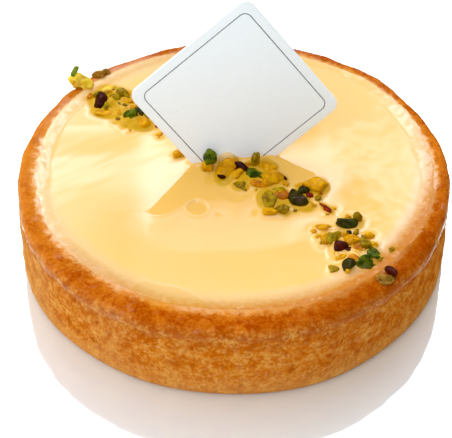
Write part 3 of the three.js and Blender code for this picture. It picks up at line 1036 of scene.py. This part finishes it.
# How far inside a piece's outline the glaze under it stays level
DRAWN_INSIDE = (-2.1, -0.6)
# Reach of the golden stain round a piece, likewise, how much further it reaches at the back, between which
# values of y it does so, how soft it ends, and the length from which a piece stains fully. The stain is
# partly painted shadow of the pieces
STAIN_REACH = 0.5
STAIN_PER_LENGTH = 0.12
STAIN_AT_BACK = 0.6
STAIN_BACK_FROM = (9, 13)
STAIN_SOFTNESS = 0.4
STAIN_LENGTH = 1.6


def drawn_to_nuts(x, y):
    """Height of the glaze that is drawn up round the pieces, and how strongly they tint it golden, partly
    with painted shadow.
    """
    level, stain_and_shade = np.zeros(np.shape(x)), np.zeros(np.shape(x))
    for nut in ALL_ON_CREAM:
        if nut.foot == 0:
            gap = outline_distance(nut._replace(y=shifted(nut.x, nut.y)), x, y)
            outside = np.clip(gap, 0, None)
            height = DRAWN_HEIGHT + DRAWN_PER_LENGTH * min(nut.length, DRAWN_LENGTH)
            level += height * np.exp(-((outside / DRAWN_REACH) ** DRAWN_POWER)) * smooth(*DRAWN_INSIDE, gap)
            reach = STAIN_REACH + STAIN_PER_LENGTH * nut.length
            reach += STAIN_AT_BACK * smooth(*STAIN_BACK_FROM, nut.y)
            strength = min(1, nut.length / STAIN_LENGTH)
            stain_and_shade = np.maximum(stain_and_shade, (1 - smooth(reach - STAIN_SOFTNESS, reach, outside)) * strength)
    return level, stain_and_shade


# Glaze drawn up along the card, and higher at one place on it, with that place's x and half width
CARD_PULL = {"height": 0.5, "reach": 0.7}
CARD_TONGUE = {"height": 1.5, "reach": 0.4, "x": -1.4, "half_width": 1.9}
# The bubble's ring: its height and width, the width of its painted highlight line, how far the middle tilts,
# and between which distances the ring passes into it
BUBBLE_RING = {"height": 0.07, "width": 0.25, "line": 0.2, "tilt": 0.03, "passes": (-0.3, 0.1)}
# The second run: how far the corners of its end are eased, how high it stands, how soft it ends, and how wide
# the painted highlight line there is
SECOND_RUN_EASE = 0.8
SECOND_RUN_HEIGHT = 0.05
SECOND_RUN_SOFTNESS = 0.15
SECOND_RUN_LINE = 0.25
# The step at the mound's margin: its height, how soft it is, and where it runs out on both sides
MARGIN_STEP = 0.035
MARGIN_SOFTNESS = 0.25
MARGIN_ENDS = (17, 14)
# Sides as middle and half width in degrees: with a narrower and fainter brown border, with a stronger one
# that is painted shade on the side away from the light, and the front, where the gloss ends further in
NARROW_SIDE = (50, 60)
SHADED_SIDE = (-22, 45)
FRONT_SIDE = (265, 60)
# The brown border, partly the crust seen through the thin glaze and partly painted shade near the rim: how
# wide it is inside the shell's inner edge and outside it, how much narrower and fainter on its narrow side,
# and how much stronger, as painted shade, on its shaded side
BORDER_TINT_AND_SHADE = {"inside": 5.2, "outside": 0.8, "narrower": 2, "fainter": 0.7, "shaded_more": 0.5}
# How strongly the pale film, mostly painted highlights, and the golden stain, partly painted shadow, show in
# their places
FILM_AND_HIGHLIGHT = {"bubble": 0.35, "beads": 0.5, "second_run": 0.22, "golden_side": 0.5}
STAIN_AND_SHADE = {"second_run": 0.2, "card": 0.38, "front": 0.3}
# The border's loss of gloss, where it sets in, and how much further in it does so at the front
GLOSS_LOSS = 0.75
GLOSS_RANGE = (-2.6, -0.5)
GLOSS_AT_FRONT = (2.2, 2.0)
STAIN_GLOSS_LOSS = 0.8


def cream_height(x, y, settings):
    """Height of the glazed surface above its nominal level, and the values that its material reads."""
    turn = np.arctan2(y, x)
    side = np.degrees(turn)
    beyond = np.hypot(x, y) - inner_shift(turn) - FILLING_RADIUS
    level = uneven_glaze(x, y) - GLAZE_SINK + settings.mound * mound(x, y)
    level += border_height(x, y, turn, beyond)
    beads = dots(x, y, 3, *BEADS) * smooth(*BEADS_START, beyond) * (1 - 0.8 * shine(side))
    grain = BORDER_GRAIN[0] * sandy(x, y, 0, *BORDER_GRAIN[1:])
    level += (grain + BEAD_HEIGHT * beads) * smooth(*BORDER_GRAIN_START, beyond)
    near = np.clip(card_distance(x, y), 0, None)
    sideways = (x - CARD_TONGUE["x"]) / CARD_TONGUE["half_width"]
    tongue = CARD_TONGUE["height"] * np.exp(-near / CARD_TONGUE["reach"] - sideways**2)
    level += CARD_PULL["height"] * np.exp(-near / CARD_PULL["reach"]) + tongue
    behind_second = y - along(SECOND_RUN, x, SECOND_RUN_EASE)
    second = smooth(SECOND_RUN_SOFTNESS, -SECOND_RUN_SOFTNESS, behind_second)
    drawn, stain_and_shade = drawn_to_nuts(x, y)
    level += SECOND_RUN_HEIGHT * second + drawn

    ring = np.hypot(x - BUBBLE["x"], y - BUBBLE["y"]) - BUBBLE["radius"]
    inside = 1 - smooth(*BUBBLE_RING["passes"], ring)
    flat = settings.mound * mound(BUBBLE["x"], BUBBLE["y"]) - GLAZE_SINK
    flat = flat - BUBBLE_RING["tilt"] * (y - BUBBLE["y"]) / BUBBLE["radius"]
    level = level * (1 - inside) + inside * flat + BUBBLE_RING["height"] * bell(ring, BUBBLE_RING["width"])
    step = smooth(-MARGIN_SOFTNESS, MARGIN_SOFTNESS, beyond_margin(x, y))
    level -= MARGIN_STEP * step * smooth(*MARGIN_ENDS, np.abs(x - MOUND_MIDDLE))

    golden, front = near_side(side, *PALE_AND_LIT_SIDE), near_side(side, *FRONT_SIDE)
    narrow = np.maximum(golden, near_side(side, *NARROW_SIDE))
    inner_width = BORDER_TINT_AND_SHADE["inside"] - BORDER_TINT_AND_SHADE["narrower"] * narrow
    edge = np.clip((beyond + inner_width) / (inner_width + BORDER_TINT_AND_SHADE["outside"]), 0, 1)
    edge *= (1 - BORDER_TINT_AND_SHADE["fainter"] * narrow) * (1 + BORDER_TINT_AND_SHADE["shaded_more"] * near_side(side, *SHADED_SIDE))
    # Painted highlights on the bubble's ring, the beads, the second run's end and the paler side's border,
    # and the pale glaze drawn up the card
    films_and_highlights = (
        FILM_AND_HIGHLIGHT["bubble"] * bell(ring, BUBBLE_RING["line"]),
        FILM_AND_HIGHLIGHT["beads"] * beads,
        FILM_AND_HIGHLIGHT["second_run"] * bell(behind_second - SECOND_RUN_SOFTNESS, SECOND_RUN_LINE) * smooth(-36, -30, y),
        FILM_AND_HIGHLIGHT["golden_side"] * golden * smooth(-0.9, 0.5, beyond),
        smooth(0.25, 0.9, tongue),
    )
    # Painted shade on the glaze in front of the card, where the card and the pieces shadow it, laid in with
    # the stain
    shade_before_card = smooth(3, 0, y - 0.1 * x) * np.exp(-near / 2.6)
    stain_and_shade = stain_and_shade * (STAIN_AND_SHADE["front"] + (1 - STAIN_AND_SHADE["front"]) * smooth(-15, -9, y))
    stain_and_shade = np.maximum.reduce((stain_and_shade, STAIN_AND_SHADE["second_run"] * second, STAIN_AND_SHADE["card"] * shade_before_card))
    fading = (place - further * front for place, further in zip(GLOSS_RANGE, GLOSS_AT_FRONT))
    sheen = 1 - GLOSS_LOSS * smooth(*fading, beyond) * (1 - shine(side))
    sheen *= 1 - STAIN_GLOSS_LOSS * stain_and_shade
    return level, {"stain_and_shade": stain_and_shade, "film_and_highlight": np.maximum.reduce(films_and_highlights), "edge": edge, "sheen": sheen}


def disc_grid(cells):
    """A disc of radius 1 meshed with even cells: its points, its faces and its outline's point numbers."""
    line = np.linspace(-1, 1, cells + 1)
    a, b = np.meshgrid(line, line)
    wide = np.abs(a) > np.abs(b)
    with np.errstate(divide="ignore", invalid="ignore"):
        radius = np.where(wide, a, b)
        turn = np.where(wide, math.pi / 4 * b / a, math.pi / 2 - math.pi / 4 * a / b)
    turn = np.where(radius == 0, 0, turn)
    points = np.stack([radius * np.cos(turn), radius * np.sin(turn)], -1).reshape(-1, 2)
    number = np.arange((cells + 1) ** 2).reshape(cells + 1, cells + 1)
    corners = (number[:-1, :-1], number[:-1, 1:], number[1:, 1:], number[1:, :-1])
    faces = np.stack([corner.ravel() for corner in corners], 1)
    outline = np.concatenate([number[0, :-1], number[:-1, -1], number[-1, :0:-1], number[:0:-1, 0]])
    return points, faces, outline


# How far the cream's top reaches over the shell's inner edge, and where its side starts below the top
CREAM_OVERLAP = 1.6
CREAM_SHOULDER = 2.0
CREAM_CORNER_STEPS = 3


def cream_points(settings):
    """Points of the lemon cream: its finely meshed top, then rings down its side and in to the axis below."""
    disc, faces, outline = disc_grid(round(2 * FILLING_RADIUS * math.pi / 4 / (settings.spacing / MM)))
    radius = np.hypot(disc[:, 0], disc[:, 1])
    turn = np.arctan2(disc[:, 1], disc[:, 0])
    reach = (FILLING_RADIUS + CREAM_OVERLAP) * radius + inner_shift(turn) * radius**2
    x, y = reach * np.cos(turn), reach * np.sin(turn)
    level, keep = cream_height(x, y, settings)
    points = [np.stack([x, y, CREAM_TOP + level], 1)]
    bottom, corner = FLOOR + FIT_GAP, ROUNDS["corner"]
    below = FILLING_RADIUS - FIT_GAP - DRAFT
    side = [[FILLING_RADIUS - FIT_GAP, TART_HEIGHT - CREAM_SHOULDER], [below, bottom + corner]]
    side.extend(arc([below - corner, bottom + corner], corner, 0, -90, CREAM_CORNER_STEPS)[1:])
    around = turn[outline]
    for ring_radius, height in side:
        out = ring_radius + inner_shift(around) * ring_radius / FILLING_RADIUS
        points.append(np.stack([out * np.cos(around), out * np.sin(around), np.full(len(out), height)], 1))
    faces = [tuple(f) for f in faces]
    ring = outline
    start = len(disc)
    for _ in side:
        lower = start + np.arange(len(outline))
        faces.extend(zip(ring, lower, np.roll(lower, -1), np.roll(ring, -1)))
        ring, start = lower, start + len(outline)
    points.append(np.array([[0, 0, bottom]]))
    faces.extend((start, b, a) for a, b in zip(ring, np.roll(ring, -1)))
    points = np.concatenate(points)
    rest = np.zeros(len(points) - len(disc))
    return points, faces, {key: np.concatenate([value, rest]) for key, value in keep.items()}


CREAM_CLOUD = (0.81, 0.46, 0.07, 1)
# Tones of the cream's border towards the crust, partly the crust seen through the thin glaze and partly
# painted shade near the rim, as place, red, green and blue
CRUSTED_AND_SHADED_TONES = (
    (0.33, 224, 180, 104),
    (0.5, 216, 171, 98),
    (0.67, 206, 152, 78),
    (0.83, 199, 136, 48),
    (0.97, 190, 116, 12),
)
# Golden stain round the pieces, partly painted shadow of the pieces and of the card
STAIN_AND_SHADE_TONE = (198, 150, 0)
# Pale tone of the painted highlights and of the glaze drawn up the card
FILM_AND_HIGHLIGHT_TONE = (255, 228, 170)


def cream_material(settings):
    """Smooth lemon cream under a clear wet glaze, whose colour holds painted shade round the pieces, before
    the card and along the rim, and painted highlights.
    """
    material, shader, principled = surface(
        "lemon cream", Roughness=0.4, Specular_IOR_Level=0.05, Coat_Weight=1.0, Coat_Roughness=0.03,
        Coat_IOR=1.48,
    )
    clouds = shader.mottle((*settings.colour, 1), CREAM_CLOUD, patch=26, spread=0.2)
    ragged = shader.span(shader.noise(1.1, detail=4, roughness=0.65), 0.3, 0.7, -0.1, 0.1)
    edge = shader.attribute("edge")
    edge = shader.math("ADD", edge, shader.times(ragged, edge))
    crusted_and_shaded = shader.ramp(edge, tones(CRUSTED_AND_SHADED_TONES))
    base = shader.mix(shader.span(edge, 0.0, 0.4), clouds["Color"], crusted_and_shaded)
    # Golden stain, partly painted shadow
    base = shader.tinted(base, shader.attribute("stain_and_shade", 0.95), STAIN_AND_SHADE_TONE)
    base = shader.tinted(base, shader.attribute("film_and_highlight", 0.6), FILM_AND_HIGHLIGHT_TONE)
    shader.set(principled, Base_Color=base, Coat_Weight=shader.attribute("sheen"))
    return material


def rounded_square(half, corner, steps=10):
    """Points of a square's outline with rounded corners."""
    points = []
    for quarter in range(4):
        diagonal = math.radians(45 + 90 * quarter)
        reach = (half - corner) * math.sqrt(2)
        centre = (reach * math.cos(diagonal), reach * math.sin(diagonal))
        points.append(arc(centre, corner, 90 * quarter, 90 * quarter + 90, steps))
    return np.concatenate(points)


def plate_mesh(outlines):
    """Points and side faces of a plate or ring, from outlines of as many points each, as (outline, z), and
    that number of points."""
    count = len(outlines[0][0])
    points = [np.column_stack([outline, np.full(count, z)]) for outline, z in outlines]
    index = np.arange(count)
    after = (index + 1) % count
    faces = []
    for layer in range(len(outlines) - 1):
        low, high = layer * count, (layer + 1) * count
        faces.extend(zip(low + index, low + after, high + after, high + index))
    return np.concatenate(points), faces, count


def placed_on_card(name, points, faces):
    """A piece whose points are given in the card's own plane."""
    place = np.array(card_frame())
    return mesh_piece(name, points @ place[:3, :3].T + place[:3, 3], faces)


def card_piece():
    """The card, with a softened edge, as a closed plate."""
    half, thick = CARD_SIDE / 2, CARD_THICKNESS / 2
    lower = []
    for inset, rise in CARD_EDGE:
        inset, rise = inset * CARD_SOFT_EDGE, rise * CARD_SOFT_EDGE
        lower.append((rounded_square(half - inset, CARD_CORNER - inset), rise - thick))
    upper = [(outline, -z) for outline, z in reversed(lower)]
    points, faces, count = plate_mesh(lower + upper)
    faces.append(tuple(reversed(range(count))))
    faces.append(tuple(range(len(points) - count, len(points))))
    return placed_on_card("card_plate", points, faces)


def border_piece(settings):
    """A thin printed border line on the card's front, as a flat closed ring."""
    half, width = CARD_SIDE / 2 - settings.line_inset / MM, settings.line_width / MM
    below, above = CARD_THICKNESS / 2 - LINE_DEPTH, CARD_THICKNESS / 2 + LINE_STAND
    outer, inner = rounded_square(half, LINE_CORNER), rounded_square(half - width, LINE_CORNER - width)
    points, faces, count = plate_mesh([(outer, below), (outer, above), (inner, above), (inner, below)])
    index = np.arange(count)
    after = (index + 1) % count
    faces.extend(zip(3 * count + index, 3 * count + after, after, index))
    return placed_on_card("card_border_line", points, faces)


CARD_FIBRE = (0.91, 0.95, 0.88, 1)
INK_TONES = ((104, 106, 104), (128, 130, 127))


def card_material(settings):
    """Smooth coated card with the faintest fibre."""
    material, shader, principled = surface("white card", Roughness=0.5, Specular_IOR_Level=0.15)
    fibre = shader.mottle((*settings.colour, 1), CARD_FIBRE, patch=0.5, spread=0.25)
    fibres = shader.bump(fibre["Height"], strength=0.1, distance=0.01)
    shader.set(principled, Base_Color=fibre["Color"], Normal=fibres)
    return material


def ink_material():
    """Grey printing ink."""
    material, shader, principled = surface("grey ink", Roughness=0.5)
    ink = shader.mottle(linear(*INK_TONES[0]), linear(*INK_TONES[1]), patch=0.6, spread=0.12)
    shader.set(principled, Base_Color=ink["Color"])
    return material


class Tone(NamedTuple):
    """Display colours of one kind, how much of it is spotted, and how strongly its foot takes the glaze's
    golden tint and painted shade.
    """

    low: tuple
    high: tuple
    spot: tuple
    spotted: float
    wet: float


KINDS = {
    "green": Tone((44, 68, 0), (104, 118, 0), (40, 28, 0), 0.3, 0.5),
    "deep": Tone((26, 36, 0), (66, 74, 0), (54, 16, 0), 0.5, 0.3),
    "olive": Tone((124, 98, 0), (176, 148, 0), (104, 56, 0), 0.3, 0.6),
    "golden": Tone((198, 134, 0), (228, 168, 0), (150, 92, 0), 0.2, 0.4),
    "pale": Tone((226, 184, 30), (242, 218, 86), (206, 128, 0), 0.3, 0.0),
    "dark": Tone((22, 4, 0), (60, 18, 8), (92, 24, 0), 0.3, 0.0),
    "russet": Tone((176, 98, 0), (212, 136, 0), (124, 62, 0), 0.3, 0.3),
    "red": Tone((112, 10, 0), (178, 52, 6), (60, 6, 2), 0.3, 0.0),
    "leaf": Tone((108, 136, 12), (158, 172, 52), (84, 106, 12), 0.2, 0.0),
    "crumb": Tone((140, 92, 10), (198, 146, 50), (84, 58, 6), 0.45, 0.0),
}
# Golden glaze at a piece's foot, deepened with painted shade on its underside
WET_AND_SHADED_FOOT = (200, 140, 0)
# Lengths of a small and a large piece, and how much larger than its row each is made, as cuts take some off
NUT_LARGER = ((1.0, 3.0), (1.75, 1.32))
# The planes that cut each lump: how many, how far from its middle, and at least how far
NUT_SIDES = 13
NUT_CUTS = (0.4, 0.6)
NUT_LEAST_CUT = 0.06
# How crisp the edges between the planes are, and how crisply the lumps meet
NUT_CRISPNESS = 6
NUT_BLEND = 5
# How far a lump's middle lies from the piece's, how far a piece may reach, and the share of its box it fills
LUMP_REACH = (0.25, 0.5)
NUT_LIMIT = 1.1
NUT_FILL = 0.85
# Between which distances from its middle a piece has creases, darkened with painted shade, and between which
# heights its foot
CREASE_SHADE_RANGE = (0.4, 0.72)
FOOT = (0.1, -0.45)
NUT_GRAIN = {"height": 0.07, "size": 1.2, "lattices": 3, "rough": 0.55}
# Pieces longer than the first are finely meshed, and those longer than the second have a lump more
FINE_FROM = 1.5
LUMPY_FROM = 1.7
# A leaf of skin curls, narrows towards its tip and is tilted, in degrees
LEAF = {"curl": 0.12, "narrows": 0.25, "tilt": (60, -38)}


def nut_shape(nut, draw):
    """Points and faces of one chopped piece, how deep in the creases between its lumps each point lies, for
    the painted shade there, and how near its foot: a few fused lumps cut by planes, roughened, and stretched
    to the piece's size."""
    ball = bmesh.new()
    bmesh.ops.create_icosphere(ball, subdivisions=4 if nut.length > FINE_FROM else 3, radius=1)
    way = np.array([v.co for v in ball.verts])
    faces = [tuple(v.index for v in f.verts) for f in ball.faces]
    ball.free()
    lumps = 1 if nut.kind in ("leaf", "dark") else 3 if nut.length > LUMPY_FROM else 2
    filled = np.zeros(len(way))
    for lump in range(lumps):
        centre = draw.normal(size=3)
        centre *= (0.0 if lump == 0 else draw.uniform(*LUMP_REACH)) / np.linalg.norm(centre)
        sides = draw.normal(size=(NUT_SIDES, 3))
        sides /= np.linalg.norm(sides, axis=1)[:, None]
        depth = np.clip(draw.uniform(*NUT_CUTS, NUT_SIDES) + sides @ centre, NUT_LEAST_CUT, None)
        ahead = np.clip(way @ sides.T, 0, None) / depth
        filled += (ahead**NUT_CRISPNESS).sum(1) ** (-NUT_BLEND / NUT_CRISPNESS)
    points = way * np.clip(filled ** (1 / NUT_BLEND), 0, NUT_LIMIT)[:, None]
    larger = np.interp(nut.length, *NUT_LARGER)
    size = np.array([nut.length, nut.breadth, nut.height]) / 2 * (larger if nut.kind != "leaf" else 1)
    where = points * size / NUT_FILL + draw.uniform(0, 50, 3)
    grain = sandy(*where.T, NUT_GRAIN["size"], NUT_GRAIN["lattices"], NUT_GRAIN["rough"])
    points = points * (1 + NUT_GRAIN["height"] * grain)[:, None]
    points = points / np.abs(points).max(0)
    crease_shade = 1 - smooth(*CREASE_SHADE_RANGE, np.linalg.norm(points, axis=1))
    foot = smooth(*FOOT, points[:, 2])
    points = points * size
    tilt = (0, 0)
    if nut.kind == "leaf":
        points[:, 2] += LEAF["curl"] * points[:, 0] ** 2
        points[:, 1] *= 1 - LEAF["narrows"] * points[:, 0] / size[0]
        tilt = LEAF["tilt"]
    turned = Euler([math.radians(angle) for angle in (*tilt, nut.turn)]).to_matrix()
    return points @ np.array(turned).T, faces, crease_shade, foot


def nut_pieces(settings):
    """The chopped pieces, joined into one mesh for each kind, with the values that its material reads."""
    draw = np.random.default_rng(settings.seed)
    gathered = {kind: {"points": [], "faces": [], "crease_shade": [], "foot": [], "tone": []} for kind in KINDS}
    for rows, ground in ((ALL_ON_CREAM, CREAM_TOP), (NUTS_ON_RIM, TART_HEIGHT)):
        for nut in rows:
            points, faces, crease_shade, foot = nut_shape(nut, draw)
            x, y = nut.x, nut.y
            stand = ground + nut.foot + nut.height * (0.5 - NUT_SINK)
            if rows is ALL_ON_CREAM:
                stand += MOUND_LIFT * float(mound(x, y))
                y = shifted(x, y)
            held = gathered[nut.kind]
            count = sum(len(p) for p in held["points"])
            held["points"].append(points + [x, y, stand])
            held["faces"].extend(tuple(v + count for v in f) for f in faces)
            held["crease_shade"].append(crease_shade)
            held["foot"].append(foot * (nut.foot == 0))
            held["tone"].append(np.full(len(points), draw.uniform()))
    return {kind: {k: v if k == "faces" else np.concatenate(v) for k, v in held.items()}
            for kind, held in gathered.items()}


def nut_material(kind, settings):
    """One tone of chopped pistachio, glazed, with painted shade in its creases, and golden where the glaze
    wets its foot, which is deepened with painted shade.
    """
    tone = KINDS[kind]
    low, high = linear(*tone.low), linear(*tone.high)
    material, shader, principled = surface(
        f"pistachio {kind}", Roughness=settings.roughness, Specular_IOR_Level=0.0, Coat_Weight=0.22,
        Coat_Roughness=0.05, Coat_IOR=1.4,
    )
    flesh = shader.mottle(low, high, patch=1.1, spread=0.14)
    spots = shader.span(shader.noise(0.8, detail=2), 0.62 - tone.spotted * 0.1, 0.72)
    base = flesh["Color"]
    # Darker spots, painted shade in the creases, and each piece's own tone
    for share in (shader.times(spots, 0.85), shader.attribute("crease_shade", 0.5), shader.attribute("tone", 0.4)):
        base = shader.tinted(base, share, tone.spot)
    # Golden glaze and painted shade at the foot
    base = shader.tinted(base, shader.attribute("foot", tone.wet), WET_AND_SHADED_FOOT)
    rough = shader.bump(shader.noise(0.5, detail=3, roughness=0.6), strength=0.4, distance=0.07)
    shader.set(principled, Base_Color=base, Normal=rough)
    return material


def soft_panel(shader, direction, azimuth, elevation, half_width, half_height, strength, softness):
    """A soft-edged bright rectangle of sky. Azimuth 0 lies behind the tart, and angles are in degrees."""
    turn, rise = math.radians(azimuth), math.radians(elevation)
    ahead = Vector((math.sin(turn) * math.cos(rise), math.cos(turn) * math.cos(rise), math.sin(rise)))
    level = Vector((math.cos(turn), -math.sin(turn), 0))
    share = strength
    for axis, half in ((level, half_width), (level.cross(ahead), half_height)):
        reach = math.sin(math.radians(half))
        away = shader.math("ABSOLUTE", shader.dot(direction, axis))
        share = shader.times(share, shader.span(away, reach * (1 + softness), reach * (1 - softness)))
    return shader.times(share, shader.math("GREATER_THAN", shader.dot(direction, ahead), 0.0))


# The sky's soft panels: azimuth, elevation, half width and half height in degrees, strength and softness
PANELS = (
    (0, 44, 24, 17, 0.9, 0.4),
    (0, 39.4, 26, 3.0, 0.95, 0.5),
    (0, 41.8, 26, 1.2, 0.35, 0.8),
    (-4.6, 43.6, 3.2, 1.1, 0.8, 0.9),
    (0, 50.0, 22, 4.5, 1.9, 0.4),
    (0, 61, 20, 7, 0.9, 0.2),
    (-8.6, 40.9, 2.4, 1.4, 2.8, 0.9),
    (-5.4, 40.9, 2.4, 0.6, 1.2, 0.95),
    (-3.7, 41.5, 1.7, 0.8, 1.5, 0.9),
    (5.2, 41.6, 3.0, 1.2, 1.4, 0.9),
    (-19, 43, 8, 6, 3.8, 0.3),
    (19, 43, 8, 6, 3.8, 0.3),
    (-75, 35, 30, 25, 1.5, 0.5),
    (0, 80, 11, 11, 3.0, 0.5),
    (-160, 45, 24, 12, 3.0, 0.5),
)


def make_world(settings):
    """Even daylight and the soft panels, by direction."""
    world = bpy.data.worlds.new("studio")
    bpy.context.scene.world = world
    world.use_nodes = True
    shader = Shader(world.node_tree)
    direction = shader.add("ShaderNodeTexCoord").outputs["Generated"]
    panels = 0.0
    for panel in PANELS:
        panels = shader.math("ADD", panels, soft_panel(shader, direction, *panel))
    tint = shader.add("ShaderNodeVectorMath", operation="SCALE")
    tint.inputs[0].default_value = settings.panel_colour
    shader.feed(tint.inputs["Scale"], panels)
    total = shader.add("ShaderNodeVectorMath", operation="ADD")
    total.inputs[0].default_value = (settings.daylight,) * 3
    shader.feed(total.inputs[1], tint.outputs[0])
    background = shader.nodes["Background"]
    shader.feed(background.inputs["Color"], total.outputs[0])


def make_floor(settings):
    """The pale, softly mirroring floor that the tart stands on."""
    half = settings.floor_size / MM / 2
    corners = [(a * half, b * half, 0) for a, b in ((-1, -1), (1, -1), (1, 1), (-1, 1))]
    floor = mesh_piece("floor", corners, [(0, 1, 2, 3)])
    colour = (*settings.floor_colour, 1)
    floor.data.materials.append(surface("pale floor", Base_Color=colour, Roughness=0.06, Metallic=0.3)[0])


# The camera's aim in millimetres, its sensor's width, and how near it sees, in metres
TARGET = (-1.28, 0.0, 4.84)
SENSOR_WIDTH = 36
CLIP_START = 0.01


def make_camera(settings):
    """The camera in front of the tart, aimed a little above its floor."""
    lens = bpy.data.cameras.new("camera")
    lens.lens = settings.lens
    lens.sensor_width = SENSOR_WIDTH
    lens.clip_start = CLIP_START
    camera = bpy.data.objects.new("camera", lens)
    back = Vector((0, -math.cos(settings.elevation), math.sin(settings.elevation)))
    camera.location = Vector(TARGET) * MM + back * settings.distance
    camera.rotation_euler = (-back).to_track_quat("-Z", "Y").to_euler()
    bpy.context.scene.collection.objects.link(camera)
    bpy.context.scene.camera = camera


class TART_OT_stage(bpy.types.Operator):
    """Adds the pale floor, the soft light and the camera"""

    bl_idname = "lemon_tart.stage"
    bl_label = "Stage"

    def execute(self, context):
        settings = context.scene.tart_stage
        make_floor(settings)
        make_world(settings)
        make_camera(settings)
        context.scene.view_settings.view_transform = "Standard"
        return {"FINISHED"}


class TART_OT_shell(bpy.types.Operator):
    """Adds the baked pastry shell in place of its plain solid"""

    bl_idname = "lemon_tart.shell"
    bl_label = "Baked shell"

    def execute(self, context):
        settings = context.scene.tart_shell
        piece = mesh_piece("baked_shell", *shell_points(settings))
        piece.data.materials.append(shell_material(settings))
        settle(piece, "pastry", "pastry_shell")
        return {"FINISHED"}


class TART_OT_cream(bpy.types.Operator):
    """Adds the glazed lemon cream in place of its plain solid"""

    bl_idname = "lemon_tart.cream"
    bl_label = "Lemon cream"

    def execute(self, context):
        settings = context.scene.tart_cream
        piece = mesh_piece("glazed_cream", *cream_points(settings))
        piece.data.materials.append(cream_material(settings))
        settle(piece, "lemon_cream", "lemon_cream")
        return {"FINISHED"}


class TART_OT_nuts(bpy.types.Operator):
    """Adds the chopped pistachio, one piece for each tone"""

    bl_idname = "lemon_tart.nuts"
    bl_label = "Pistachio"

    def execute(self, context):
        settings = context.scene.tart_nuts
        for kind, held in nut_pieces(settings).items():
            piece = mesh_piece(f"pistachio_{kind}", held.pop("points"), held.pop("faces"), held)
            piece.data.materials.append(nut_material(kind, settings))
            settle(piece, "lemon_cream", "lemon_cream", "pastry_shell")
        return {"FINISHED"}


class TART_OT_card(bpy.types.Operator):
    """Adds the small card and its thin border line"""

    bl_idname = "lemon_tart.card"
    bl_label = "Card"

    def execute(self, context):
        settings = context.scene.tart_card
        card = card_piece()
        card.data.materials.append(card_material(settings))
        settle(card, "card", "card")
        line = border_piece(settings)
        line.data.materials.append(ink_material())
        settle(line, "card")
        return {"FINISHED"}


class TART_PT_panel(bpy.types.Panel):
    """Lists the tart's settings and the buttons that build it"""

    bl_idname = "TART_PT_panel"
    bl_label = "Lemon tart"
    bl_space_type = "VIEW_3D"
    bl_region_type = "UI"
    bl_category = "Lemon tart"

    def draw(self, context):
        for settings, operator in BUTTONS:
            box = self.layout.box()
            group = getattr(context.scene, settings)
            for name in group.bl_rna.properties.keys():
                if name not in ("rna_type", "name"):
                    box.prop(group, name)
            box.operator(operator)


SETTINGS = {
    "tart_stage": StageSettings,
    "tart_shell": ShellSettings,
    "tart_cream": CreamSettings,
    "tart_nuts": NutSettings,
    "tart_card": CardSettings,
}
BUTTONS = (
    ("tart_stage", "lemon_tart.stage"),
    ("tart_shell", "lemon_tart.shell"),
    ("tart_cream", "lemon_tart.cream"),
    ("tart_nuts", "lemon_tart.nuts"),
    ("tart_card", "lemon_tart.card"),
)
CLASSES = (
    *SETTINGS.values(),
    TART_OT_stage,
    TART_OT_shell,
    TART_OT_cream,
    TART_OT_nuts,
    TART_OT_card,
    TART_PT_panel,
)


def register():
    for cls in CLASSES:
        bpy.utils.register_class(cls)
    for name, group in SETTINGS.items():
        setattr(bpy.types.Scene, name, bpy.props.PointerProperty(type=group))


def unregister():
    for name in SETTINGS:
        delattr(bpy.types.Scene, name)
    for cls in reversed(CLASSES):
        bpy.utils.unregister_class(cls)


def main():
    register()
    bpy.ops.lemon_tart.stage()
    bpy.ops.lemon_tart.shell()
    bpy.ops.lemon_tart.cream()
    bpy.ops.lemon_tart.nuts()
    bpy.ops.lemon_tart.card()


if __name__ == "__main__":
    main()
